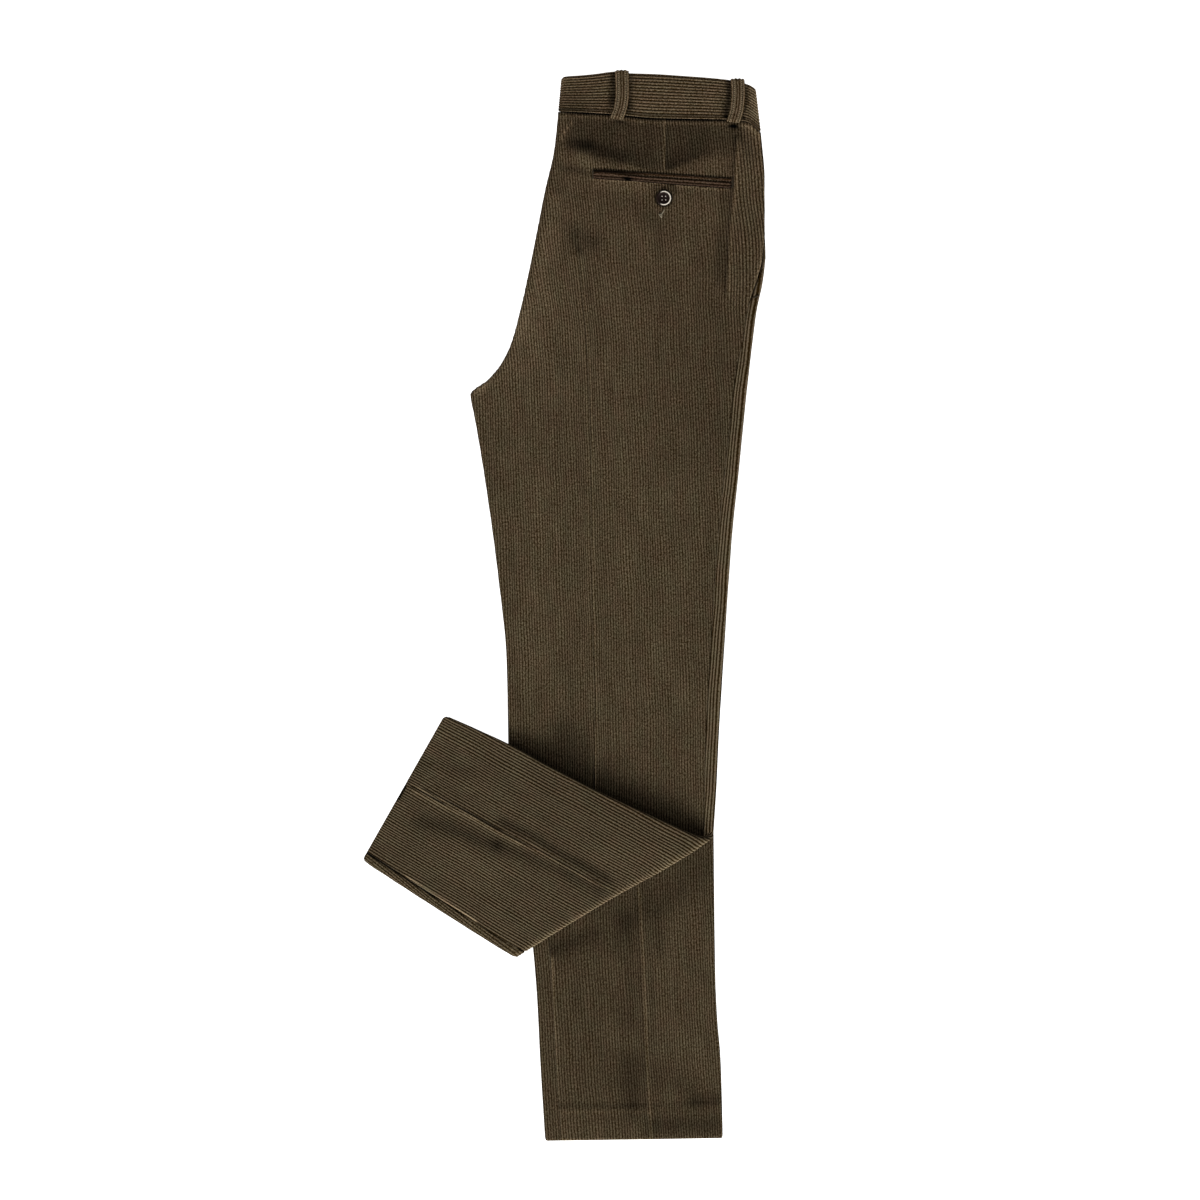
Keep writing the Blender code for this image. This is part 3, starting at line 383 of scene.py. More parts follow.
class Curve:
    """A smooth curve through a table that never overshoots a point."""

    def __init__(self, rows):
        self.at = np.array([row[0] for row in rows], float)
        self.value = np.array([row[1] for row in rows], float)
        rise = np.diff(self.value) / np.diff(self.at)
        before, after = rise[:-1], rise[1:]
        same_way = before * after > 0.0
        total = np.where(same_way, before + after, 1.0)
        inner = np.where(same_way, 2.0 * before * after / total, 0.0)
        self.slope = np.concatenate((rise[:1], inner, rise[-1:]))

    def __call__(self, position):
        position = np.clip(position, self.at[0], self.at[-1])
        i = np.clip(np.searchsorted(self.at, position, side="left") - 1, 0, len(self.at) - 2)
        span = self.at[i + 1] - self.at[i]
        t = (position - self.at[i]) / span
        return (self.value[i] * (1 + 2 * t) * (1 - t) ** 2
                + span * self.slope[i] * t * (1 - t) ** 2
                + self.value[i + 1] * t * t * (3 - 2 * t)
                + span * self.slope[i + 1] * t * t * (t - 1))


def ease(t):
    t = np.clip(t, 0.0, 1.0)
    return t * t * (3.0 - 2.0 * t)


def mix(a, b, t):
    return a + (b - a) * t


upper_left = Curve(UPPER_LEFT)
upper_right = Curve(UPPER_RIGHT)
lower_left_free = Curve(LOWER_LEFT_FREE)
lower_right_free = Curve(LOWER_RIGHT_FREE)
side_strip = Curve(SIDE_SEAM)
crown_height = Curve(CROWN)
fold_bow = Curve(FOLD_BOW)
turned_swell = Curve(TURNED_SWELL)
lower_swell = Curve(LOWER_SWELL)
band_top = Curve(BAND_TOP)
band_bottom = Curve(BAND_BOTTOM)
upper_lean = Curve(UPPER_LEAN)
lower_lean = Curve(LOWER_LEAN)
back_crease = Curve(BACK_CREASE)
front_crease_turned = Curve(FRONT_CREASE_TURNED)
front_crease_lower = Curve(FRONT_CREASE_LOWER)
hip_fold = Curve(HIP_FOLD)
yoke_edge = Curve(YOKE_EDGE)
yoke_dark = Curve(YOKE_DARK)
shadow_edge = Curve(SHADOW_EDGE)
shadow_depth = Curve(SHADOW_DEPTH)


def legness(down):
    """0 in the seat, where both backs meet at the centre back seam, and 1 in the legs."""
    return ease((down - CROTCH_START) / (CROTCH_END - CROTCH_START))


def lower_left(down):
    """Left edge of the lower leg, which follows the upper leg's down to the fold."""
    shared = upper_left(down) + 1.5 * legness(down)
    return np.where(down < LOWER_LEFT_FREE[0].at, shared, lower_left_free(down))


def lower_right(down):
    return mix(upper_right(down) - 1.5, lower_right_free(down), ease((down - 649.0) / 70.0))


def past_roll(x, down):
    """How far a point of the flat leg is past the line where the roll starts."""
    return (x - ROLL_START[0]) * FOLD_PAST[0] + (-down - ROLL_START[1]) * FOLD_PAST[1]


def fold_over(x, down, z):
    """Bends the flat upper leg round the fold, and lets the turned end come down to the table."""
    past = past_roll(x, down)
    radius = FOLD_AXIS_Z - z
    angle = math.pi * np.clip(past / ROLL_LENGTH, 0.0, 1.0)
    rolled = past < ROLL_LENGTH
    move = np.where(rolled, radius * np.sin(angle) - past, ROLL_LENGTH - 2.0 * past)
    height = np.where(rolled, FOLD_AXIS_Z - radius * np.cos(angle), FOLD_AXIS_Z + radius)
    flat_x = x + move * FOLD_PAST[0]
    flat_down = down - move * FOLD_PAST[1]
    height = height - TURNED_BASE * ease((upper_left(flat_down) - flat_x) / DROOP_RUN)
    turned = past > 0.0
    x, down = np.where(turned, flat_x, x), np.where(turned, flat_down, down)
    bow = fold_bow(x) * soft_line(past_roll(x, down) - ROLL_RADIUS, 9.0)
    return x + bow * FOLD_PAST[0], down - bow * FOLD_PAST[1], np.where(turned, height, z)


def place(x, down, z):
    """Points in metres, in the part's own frame."""
    z = z + WAIST_LIFT * (1.0 - ease((down - 60.0) / 60.0))
    return np.stack(np.broadcast_arrays(x, OUTSEAM / 2.0 - down, z), axis=-1) * MM


def share_across(x, down):
    """0 where the upper leg's left edge turns down and 1 where its right edge does."""
    left = upper_left(down) + EDGE_RADIUS
    right = upper_right(down) - EDGE_RADIUS
    return np.clip((x - left) / (right - left), 0.0, 1.0)


# Heights of the top surfaces above the plain section

def crease_profile(across, rise, width):
    """A pressed ridge with a sharp top."""
    return rise * np.exp(-np.abs(across) / width)


def near_edges(x, down):
    """0 at a leg's sides and 1 further in, so that folds die out before the turn."""
    left = upper_left(down) + EDGE_RADIUS
    right = upper_right(down) - EDGE_RADIUS
    return ease((x - left) / EDGE_FADE) * ease((right - x) / EDGE_FADE)


def stroke_strength(stroke, x, down):
    """1 on a stroke's line and less beside it, as a bell curve."""
    nearest = np.full(np.broadcast(x, down).shape, np.inf)
    for (x0, down0), (x1, down1) in zip(stroke.points, stroke.points[1:]):
        run, fall = x1 - x0, down1 - down0
        share = np.clip(((x - x0) * run + (down - down0) * fall) / (run ** 2 + fall ** 2), 0, 1)
        away = (x - x0 - share * run) ** 2 + (down - down0 - share * fall) ** 2
        nearest = np.minimum(nearest, away)
    return np.exp(-nearest / stroke.width ** 2)


def strokes_rise(strokes, x, down):
    return sum(stroke.rise * stroke_strength(stroke, x, down) for stroke in strokes)


def strokes_tone(strokes, x, down):
    return sum(stroke.tone * stroke_strength(stroke, x, down) for stroke in strokes)


def ripple(x, down, seed, size):
    """Uneven rise and fall of limp cloth, from a few waves."""
    total = np.zeros(np.broadcast(x, down).shape)
    draw = np.random.default_rng(seed)
    for _ in range(5):
        turn, phase = draw.uniform(-0.5, 0.5), draw.uniform(0, 2 * math.pi)
        length = size * draw.uniform(0.7, 1.6)
        total += np.sin((x * math.cos(turn) + 0.45 * down * math.sin(turn)) * 2 * math.pi
                        / length + phase + down / (1.7 * size))
    return total / 5.0


def upper_relief(x, down):
    """Rise of the upper leg's top over its plain section."""
    cloth = bpy.context.scene.trousers_cloth
    rise = strokes_rise(BACK_STROKES, x, down) + 0.22 * ripple(x, down, 3, 70.0)
    pressed = ease((down - 150.0) / 60.0)
    rise = rise + pressed * crease_profile(x - back_crease(down), cloth.crease_rise / MM, 7.0)
    return rise * near_edges(x, down) * (1.0 - ease((past_roll(x, down) + 30.0) / 30.0))


def turned_relief(x, down):
    """The same for the front that shows on the turned end."""
    cloth = bpy.context.scene.trousers_cloth
    across = x - front_crease_turned(down)
    rise = crease_profile(across, 1.3 * cloth.crease_rise / MM, 8.0)
    rise = rise + strokes_rise(TURNED_STROKES, *as_folded(x, down))
    rise = rise + 0.2 * ripple(x, down, 11, 60.0)
    return rise * near_edges(x, down) * ease((past_roll(x, down) - 14.0) / 30.0)


def lower_relief(x, down):
    """The same for the front that shows on the lower leg."""
    cloth = bpy.context.scene.trousers_cloth
    across = x - front_crease_lower(down)
    rise = crease_profile(across, 1.3 * cloth.crease_rise / MM, 8.0)
    rise = rise + strokes_rise(LOWER_STROKES, x, down) + 0.22 * ripple(x, down, 23, 60.0)
    inside = ease((x - lower_left(down) - EDGE_RADIUS) / EDGE_FADE)
    inside = inside * ease((lower_right(down) - EDGE_RADIUS - x) / EDGE_FADE)
    return rise * inside


def crown(x, down):
    """Swell of the upper leg over what is folded inside it."""
    return crown_height(down) * np.sin(math.pi * share_across(x, down))


def hip_height(x, down):
    """Height of the upper back panel's wale tops, where the pocket and the button lie on it."""
    return UPPER_TOP + crown(x, down) + upper_relief(x, down)


# Tone: painted light and shade that lighten or darken the cloth's colour, in places also the nap's
# lie

def soft_line(across, width):
    return np.exp(-(across / width) ** 2)


def as_folded(x, down):
    """Where a point of the flat leg's front lies once its end is turned back."""
    folded_x, folded_down, _ = fold_over(x, down, UPPER_BASE)
    return folded_x, folded_down


def yoke_shade(x, down):
    """Painted shade over the yoke above the pocket, where the cloth dips away from the light,
    partly also the nap's lie.
    """
    above_edge = yoke_edge(x) - down
    yoke = ease((above_edge + 3.0) / 6.0) * (0.72 + 0.28 * soft_line(above_edge - 9.0, 12.0))
    return -yoke_dark(x) * yoke


def back_crease_tone(x, down):
    """The pressed crease: a painted dark line of shade with a painted lit one at its right."""
    pressed = ease((down - 182.0) / 15.0)
    across = x - back_crease(down)
    return pressed * (0.38 * soft_line(across - 1.4, 0.9) + 0.12 * soft_line(across + 3.0, 1.2)
                      - 0.44 * soft_line(across - 0.1, 0.8))


def dart_tone(x, down):
    """The dart from the waist seam to the pocket, lit along its edge."""
    dart = ease((down - 48.0) / 4.0) * (1.0 - ease((down - 96.0) / 6.0))
    across = x - DART_X + 0.01 * (down - 70.0)
    return dart * (0.72 * soft_line(across, 0.8) - 0.16 * soft_line(across - 2.4, 1.2))


def waist_seam_tone(x, down):
    """Painted shade in the seam under the waistband, painted light on the cloth below it, and the
    loops' painted shadows there.
    """
    below_seam = down - waist_row(x)
    tone = 0.52 * soft_line(below_seam - 4.2, 1.4) - 0.80 * soft_line(below_seam, 1.6)
    side_loop_shadow = 1.3 * soft_line(x - 169.0, 6.0) * soft_line(down - 55.4, 2.2)
    back_loop_shadow = 0.6 * soft_line(x - 54.0, 7.0) * soft_line(down - 52.0, 1.6)
    return tone - side_loop_shadow - back_loop_shadow


def turned_end_shade(x, down):
    """The shade that the turned end casts on the leg above it."""
    above_end = np.maximum(shadow_edge(x) - down, 0.0)
    return -(0.60 * np.exp(-(above_end / shadow_depth(x)) ** 3)
             + 0.12 * soft_line(above_end, 2.2 * shadow_depth(x)))


def upper_tone(x, down):
    # Painted light and shade of the upper leg, with a painted shadow in a ring round the button
    button_ring_shadow = soft_line(np.hypot(x - BUTTON_X, down - BUTTON_DOWN) - 8.3, 1.0)
    return (1.0 + strokes_tone(BACK_STROKES, x, down) + yoke_shade(x, down)
            + back_crease_tone(x, down) + dart_tone(x, down) + waist_seam_tone(x, down)
            + turned_end_shade(x, down) - 0.95 * button_ring_shadow)


def front_tone(x, down):
    """Tone of the right front: the strip at the side seam, and the turned end past the roll."""
    strip = 1.0 + strokes_tone(FRONT_STRIP_STROKES, x, down)
    return np.where(past_roll(x, down) < 0.0, strip, turned_tone(x, down))


def turned_tone(x, down):
    """Tone of the turned end, lit along the fold and along its side."""
    past = past_roll(x, down)
    fold_light = (0.85 - 0.35 * ease((x - 40.0) / 60.0)) * soft_line(past - 7.8, 1.2)
    side_light = 0.32 * soft_line(x - upper_right(down), 3.0) * ease((past - 14.0) / 10.0)
    tone = TURNED_TONE + fold_light + side_light + strokes_tone(TURNED_STROKES, *as_folded(x, down))
    return np.where(past > 0.0, tone, 1.0)


def lower_tone(x, down):
    """Tone of the lower leg: a lit crease and hem, and shade below the fold."""
    across = x - front_crease_lower(down)
    tone = LOWER_TONE + strokes_tone(LOWER_STROKES, x, down) + 0.36 * soft_line(across, 1.2)
    tone = tone - 0.14 * soft_line(across + 4.0, 2.0) - 0.08 * soft_line(across - 6.0, 4.0)
    tone = tone + 0.4 * soft_line(LOWER_HEM[0] - 1.5 - down, 1.0)
    below = np.maximum(past_roll(x, down) - 8.0, 0.0)
    return tone - 0.16 * np.exp(-(below / 20.0) ** 2)


def turned_under_tone(x, down):
    """Tone of the right back's hem, where it shows past the front's, darkened there by painted
    shade.
    """
    return 0.92 - 0.85 * ease((down - 1055.0) / 6.0) * soft_line(x - 45.0, 20.0)


def left_strip_tone(x, down):
    """Tone of the left back where it comes round the lower leg's edge."""
    return 0.85 * plain_tone(x, down)


def plain_tone(x, down):
    return np.ones(np.broadcast(x, down).shape)


# Rows across a leg: each gives how far down it is at x

def level(left, right):
    """The straight row through two places down, at ROW_LEFT_X and ROW_RIGHT_X."""
    slope = (right - left) / (ROW_RIGHT_X - ROW_LEFT_X)
    return lambda x: left + (x - ROW_LEFT_X) * slope


def along_fold(past):
    """The row that lies a distance past the start of the roll, along the fold."""
    return lambda x: (past - (x - ROLL_START[0]) * FOLD_PAST[0]) / -FOLD_PAST[1] - ROLL_START[1]


def waist_row(x):
    share = (x - BAND_LEFT[1]) / (BAND_RIGHT[1] - BAND_LEFT[1])
    return band_bottom(share) + WAIST_GAP


def between(first, second, t):
    return lambda x: mix(first(x), second(x), t)


def rows_through(*stops):
    """Rows from stop to stop; each stop is a row and the number of steps that lead to it."""
    rows = [stops[0]]
    for stop, steps in stops[1:]:
        first = rows[-1]
        rows += [between(first, stop, (i + 1) / steps) for i in range(steps)]
    return rows


def with_hem(rows, hem):
    """Ends the rows in the hem's rounded edge."""
    before = [lambda x, back=back: hem(x) - back for back in HEM_ROWS]
    return rows[:-1] + before + [hem]


def below_waist(x):
    return waist_row(x) + 6.0


def upper_rows_to_fold(fine):
    """Rows of a whole leg above the fold; the fine ones are close together round the pocket."""
    seam, yoke, pocket, hip = (6, 10, 33, 19) if fine else (1, 4, 5, 19)
    return rows_through(
        waist_row, (below_waist, seam), (level(95, 95), yoke), (level(140, 140), pocket),
        (level(290, 290), hip), (level(350, 350), 18), (level(589, 589), 27),
        (along_fold(HIDDEN_END), 32))


def turned_rows(first, second):
    hem = level(*TURNED_HEM)
    rows = rows_through(along_fold(ROLL_LENGTH), (level(960, 960), first), (hem, second))
    return with_hem(rows, hem)[1:]


def lower_rows_from_fold():
    hem = level(*LOWER_HEM)
    rows = rows_through(along_fold(HIDDEN_END), (level(940, 940), 22), (level(1025, 1025), 11),
                        (hem, 14))
    return with_hem(rows, hem)


# Sections of a leg, as in the solids. A leg is described as the upper one.

Section = namedtuple("Section", "x z out_x out_z")
Leg = namedtuple("Leg", "left right inseam_lip strip corner mirrored")
UPPER = Leg(upper_left, upper_right, UPPER_INSEAM_LIP, side_strip, 5.0, False)
LOWER = Leg(lower_left, lower_right, LOWER_INSEAM_LIP, lambda down: 0.0, 2.5, True)


def edge_x(edge, row):
    """x where a row meets an edge of the leg."""
    x = edge(row(0.0))
    for _ in range(12):
        x = edge(row(x))
    return float(x)


def side_seam_travel(strip):
    """Length of cloth from the leg's outermost line to a seam that lies `strip` inside it."""
    return strip * (QUARTER_TURN - EDGE_RADIUS + SIDE_STRIP) / SIDE_STRIP


class BackPanel:
    """One row of a back panel, from the inseam round the left edge and over to the side seam."""

    def __init__(self, leg, row):
        self.left = edge_x(leg.left, row)
        self.right = edge_x(leg.right, row)
        self.share = float(legness(row(self.left)))
        self.turn_start = self.left + mix(SEAT_ROUNDING, EDGE_RADIUS, self.share)
        self.leg_turn = math.pi * EDGE_RADIUS + leg.inseam_lip - EDGE_RADIUS
        self.turn_length = mix(SEAT_TURN, self.leg_turn, self.share)
        seam = side_seam_travel(float(leg.strip(row(self.right))))
        self.first = self.turn_start - self.turn_length
        self.last = self.right - EDGE_RADIUS + QUARTER_TURN - seam

    def section(self, travel):
        part = np.clip((self.turn_start - travel) / self.turn_length, 0.0, 1.0)
        seat = part * math.pi / 2.0
        seat_x = self.left + SEAT_ROUNDING * (1.0 - np.sin(seat))
        seat_z = UPPER_BASE + LEG_HEIGHT * np.cos(seat)
        seat_out = np.stack((-np.sin(seat) / SEAT_ROUNDING, np.cos(seat) / LEG_HEIGHT))
        seat_out = seat_out / np.linalg.norm(seat_out, axis=0)
        run = part * self.leg_turn
        turn = np.minimum(run / EDGE_RADIUS, math.pi)
        under = np.maximum(run - math.pi * EDGE_RADIUS, 0.0)
        leg_x = self.left + EDGE_RADIUS * (1.0 - np.sin(turn)) + under
        leg_z = UPPER_BASE + EDGE_RADIUS * (1.0 + np.cos(turn))
        out = mix(seat_out, np.stack((-np.sin(turn), np.cos(turn))), self.share)
        out = out / np.linalg.norm(out, axis=0)
        x, z = mix(seat_x, leg_x, self.share), mix(seat_z, leg_z, self.share)
        past_edge = np.maximum(travel - (self.right - EDGE_RADIUS), 0.0)
        angle = (QUARTER_TURN - past_edge) / EDGE_RADIUS
        right_x = self.right - EDGE_RADIUS * (1.0 - np.cos(angle))
        right_z = UPPER_BASE + EDGE_RADIUS * (1.0 + np.sin(angle))
        flat = (part <= 0.0) & (past_edge <= 0.0)
        on_left = part > 0.0
        return Section(
            np.where(flat, travel, np.where(on_left, x, right_x)),
            np.where(flat, UPPER_TOP, np.where(on_left, z, right_z)),
            np.where(flat, 0.0, np.where(on_left, out[0], np.cos(angle))),
            np.where(flat, 1.0, np.where(on_left, out[1], np.sin(angle))))


class FrontPanel:
    """One row of a front panel, from the inseam under the leg and round its right edge."""

    def __init__(self, leg, row, narrow, gap):
        left = edge_x(leg.left, row)
        self.right = edge_x(leg.right, row)
        seam = side_seam_travel(float(leg.strip(row(self.right)))) - gap
        self.first = self.right - HIDDEN_WRAP if narrow else left + leg.inseam_lip + gap
        self.last = self.right - EDGE_RADIUS + QUARTER_TURN + seam

    def section(self, travel):
        past_edge = np.maximum(travel - (self.right - EDGE_RADIUS), 0.0)
        round_it = np.minimum(past_edge - QUARTER_TURN, QUARTER_TURN)
        beyond = np.maximum(past_edge - 2.0 * QUARTER_TURN, 0.0)
        angle = round_it / EDGE_RADIUS
        flat = past_edge <= 0.0
        return Section(
            np.where(flat, travel, self.right - EDGE_RADIUS * (1.0 - np.cos(angle)) - beyond),
            np.where(flat, UPPER_BASE, UPPER_BASE + EDGE_RADIUS * (1.0 + np.sin(angle))),
            np.where(flat, 0.0, np.cos(angle)),
            np.where(flat, -1.0, np.sin(angle)))


# Where a wale of the cut cloth lies in the travel along a section

def pinched(u, crease_u):
    return -CREASE_PINCH * CREASE_PINCH_WIDTH * np.tanh((u - crease_u) / CREASE_PINCH_WIDTH)


def wobble(u, down):
    """Small unevenness in how the wales run."""
    strength = mix(0.55, 0.30, ease((down - 200.0) / 150.0))
    waves = np.sin(down / 21.0 + u / 37.0) + 0.6 * np.sin(down / 9.5 - u / 21.0)
    return strength * waves + 0.28 * np.sin(u / 2.9) + 0.20 * np.sin(u / 5.3 + down / 60.0)


def back_shift(u, down):
    """Wales of the backs: pinched over the crease, and wider past the fold at the hip's side."""
    past_fold = np.maximum(u + upper_lean(down) - hip_fold(down), 0.0)
    wider = HIP_STRETCH * past_fold * (1.0 - ease((down - 215.0) / 110.0))
    wider = wider + 0.05 * (u - 60.0) * (1.0 - ease((down - 170.0) / 70.0))
    return upper_lean(down) + pinched(u, UPPER_CREASE_U) + wobble(u, down) + wider


def lower_back_shift(u, down):
    """Wales of the left back: along the leg's left edge near it, as the cloth is folded there."""
    start = float(lower_left(FOLD_RIGHT_DOWN))
    near_left = (1.0 - ease((u - start - 6.0) / 30.0)) * ease((down - 580.0) / 140.0)
    along_edge = lower_left(down) - start + upper_lean(FOLD_RIGHT_DOWN)
    return mix(back_shift(u, down), along_edge, near_left)


def front_shift(u, down):
    """Wales of the right front: along the side edge above the fold, and straighter past it."""
    left, right = float(upper_left(FOLD_RIGHT_DOWN)), float(upper_right(FOLD_RIGHT_DOWN))
    share = np.clip((u - left) / (right - left), 0.0, 1.0)
    near_right = ease((u - (right - EDGE_GRAIN)) / EDGE_GRAIN)
    above = near_right * (upper_right(np.minimum(down, FOLD_RIGHT_DOWN)) - right)
    lean = mix(FRONT_LEAN_LEFT, FRONT_LEAN_RIGHT, share)
    turned = lean * np.maximum(down - FOLD_RIGHT_DOWN, 0.0)
    wider = FRONT_STRETCH * np.maximum(u - right + 45.0, 0.0) + 0.03 * (u - left - 60.0)
    return above + turned + wider + wobble(u, down)


def lower_shift(u, down):
    """Wales of the left front: fanned a little over its width."""
    wide = LOWER_FAN * ((u - 60.0) - (u - 60.0) ** 2 / 110.0)
    return lower_lean(down) + wide + pinched(u, LOWER_CREASE_U) + wobble(u, down)


# Meshes

def wale_profile(u):
    """1 on the top of a wale and 0 in the groove beside it."""
    away = np.abs(2.0 * (u / WALE - np.floor(u / WALE)) - 1.0)
    return 1.0 - (1.0 - away) ** 2.2


def seam_painted_shade(down):
    """Painted shade on the cloth that turns down into a seam: darkest at the front pocket."""
    return -0.40 + 0.25 * ease((down - 225.0) / 30.0)


def inseam_gap_shade(down):
    """Extra painted shade in the turned end's inseam, which gapes near the hem."""
    return -0.85 * ease((down - 970.0) / 20.0)


def front_seam_painted_shade(down):
    return seam_painted_shade(down) + inseam_gap_shade(down)


def pocket_mouth_light(down):
    """The same, but with painted light along the mouth of the slanted front pocket."""
    mouth = ease((down - 160.0) / 10.0) * (1.0 - ease((down - 230.0) / 8.0))
    return seam_painted_shade(down) + 1.3 * mouth + inseam_gap_shade(down)


def unchanged(x, down):
    """For a panel without folds of its own, or with the same grooves all over."""
    return 0.0


def hip_grooves(x, down):
    """How much darker than elsewhere the grooves are beside the hip's side fold and on the seat."""
    side = ease((x - hip_fold(down) - 2.0) / 6.0) * (1.0 - ease((down - 230.0) / 40.0))
    seat = (1.0 - ease((x - 10.0) / 50.0)) * ease((down - 100.0) / 40.0)
    seat = seat * (1.0 - ease((down - 300.0) / 60.0))
    return 0.10 + 0.50 * side + 0.28 * seat


def hem_corner(leg, x, down):
    """How far a hem draws back at its rounded corners."""
    to_edge = np.minimum(x - leg.left(down), leg.right(down) - x)
    away = 1.0 - np.clip(to_edge / leg.corner, 0.0, 1.0)
    return leg.corner * (1.0 - np.sqrt(1.0 - away ** 2))


class PanelGrid:
    """The points of a panel: every row has the same wales, cut off at the panel's two ends."""

    def __init__(self, rows, sections, shift, leg, swell, relief, tone, recess=None,
                 edge_tone=seam_painted_shade, under_tone=plain_tone, grooves=unchanged):
        self.pitch = WALE / COLUMNS_PER_WALE
        self.rows = rows
        self.sections = sections
        self.shift = shift
        self.leg = leg
        self.swell = swell
        self.relief = relief
        self.tone = tone
        self.recess = recess
        self.edge_tone = edge_tone
        self.under_tone = under_tone
        self.grooves = grooves
        self.relief_depth = bpy.context.scene.trousers_cloth.wale_relief / MM
        self.spans = [self._span(row, section) for row, section in zip(rows, sections)]

    def _span(self, row, section):
        """First and last column of a row: the ones that fall on or past the panel's ends."""
        reach = 90.0
        k = np.arange(math.floor((section.first - reach) / self.pitch),
                      math.ceil((section.last + reach) / self.pitch) + 1)
        travel = self._travel(k * self.pitch, row)
        return (int(k[np.searchsorted(travel, section.first, side="right") - 1]),
                int(k[np.searchsorted(travel, section.last, side="left")]))

    def _travel(self, u, row):
        travel = u + self.shift(u, row(u))
        for _ in range(3):
            travel = u + self.shift(u, row(travel))
        return travel

    def row_points(self, i, columns, depth):
        row, section = self.rows[i], self.sections[i]
        u = columns * self.pitch
        travel = np.clip(self._travel(u, row), section.first, section.last)
        for _ in range(4):
            u = travel - self.shift(u, row(travel))
        at = section.section(travel)
        to_seam = np.minimum(travel - section.first, section.last - travel)
        at_seam = np.clip(1.0 - to_seam / SEAM_TURN, 0.0, 1.0)
        to_hem = (len(self.rows) - 1) - i
        inward = np.full(len(u), float(depth))
        if depth == 0.0:
            inward += self.relief_depth * (1.0 - wale_profile(u))
            inward += SEAM_DROP * at_seam ** 2
            inward += HEM_DROPS[to_hem] if to_hem < len(HEM_DROPS) else 0.0
        x = at.x - at.out_x * inward
        down = row(x)
        if to_hem <= len(HEM_DROPS):
            down = down - hem_corner(self.leg, x, down)
        if self.recess is not None:
            down = down - self.recess(x, i)
        facing = np.maximum(self.facing(at.out_z), 0.0)
        rise = self.swell(x, down, at.out_z) + self.relief(x, down) * facing
        z = at.z + at.out_z * (rise - inward)
        # Painted light and shade: the drawn side's own tone, darkened where the cloth turns down at
        # an outline and at a seam, and lit at the slanted pocket's mouth.
        tone = mix(self.under_tone(x, down), self.tone(x, down), facing)
        tone = tone * mix(OUTLINE_SHADE, 1.0, np.abs(at.out_z))
        tone = tone + self.edge_tone(down) * at_seam
        tone = tone + self.grooves(x, down) * (wale_profile(u) - 0.6)
        cloth = np.stack((u, down), axis=-1) * MM
        if self.leg.mirrored:
            z = MIRROR_Z - z
        else:
            x, down, z = fold_over(x, down, z)
        return place(x, down, z), cloth, tone

    def facing(self, out_z):
        """1 where the section faces the side whose folds and tone are drawn."""
        return out_z if isinstance(self.sections[0], BackPanel) else -out_z


def grid_faces(spans, starts, step):
    """Faces between rows of columns, `step` columns apart, that are cut off at both ends."""
    faces = []
    for i in range(len(spans) - 1):
        (a0, a1), (b0, b1) = spans[i], spans[i + 1]
        low = math.floor(min(a0, b0) / step) * step
        high = math.ceil(max(a1, b1) / step) * step
        k = np.arange(low, high + 1, step)
        a = starts[i] + column_places(k, a0, a1, step)
        b = starts[i + 1] + column_places(k, b0, b1, step)
        faces.append(np.stack((a[:-1], b[:-1], b[1:], a[1:]), axis=-1))
    return np.concatenate(faces)


def column_places(k, first, last, step):
    """Place of each column in its row's points, where a row holds first, multiples and last."""
    low, high = math.floor(first / step), math.ceil(last / step)
    return np.clip(k // step if step > 1 else k, low, high) - low


def row_columns(first, last, step):
    low, high = math.floor(first / step), math.ceil(last / step)
    return np.clip(np.arange(low, high + 1) * step, first, last)


def without_doubles(quads):
    """Quads as lists, with the repeated corners of the ones at a cut-off end left out."""
    a, b, c, d = quads.T
    whole = (a != d) & (b != c)
    faces = quads[whole].tolist()
    left = quads[(a == d) & (b != c)]
    right = quads[(a != d) & (b == c)]
    faces += left[:, (0, 1, 2)].tolist()
    faces += right[:, (0, 1, 3)].tolist()
    return faces


def panel_object(name, grid):
    """A closed wall between the waled outside and a plain inside with a column for each wale."""
    made = []
    for step, depth in ((1, 0.0), (COLUMNS_PER_WALE, WALL)):
        for i, (first, last) in enumerate(grid.spans):
            made.append(grid.row_points(i, row_columns(first, last, step), depth))
    places, cloth, tone = (np.concatenate(part) for part in zip(*made))
    counts = [len(row[0]) for row in made]
    starts = np.cumsum([0] + counts).tolist()
    rows = len(grid.spans)
    inner_starts = starts[rows:]
    faces = without_doubles(grid_faces(grid.spans, starts, 1))
    inner = without_doubles(grid_faces(grid.spans, inner_starts, COLUMNS_PER_WALE))
    faces += [face[::-1] for face in inner]
    for i in range(rows - 1):
        faces.append([starts[i], inner_starts[i], inner_starts[i + 1], starts[i + 1]])
        ends = [start - 1 for start in (starts[i + 1], inner_starts[i + 1], inner_starts[i + 2],
                                        starts[i + 2])]
        faces.append(ends[::-1])
    for i, back in ((0, False), (rows - 1, True)):
        first, last = grid.spans[i]
        columns = row_columns(first, last, COLUMNS_PER_WALE) - first + starts[i]
        for j, (start, end) in enumerate(zip(columns, columns[1:])):
            loop = [*range(start, end + 1), inner_starts[i] + j + 1, inner_starts[i] + j]
            faces.append(loop[::-1] if back else loop)
    return mesh_object(name, places, faces, cloth, tone)


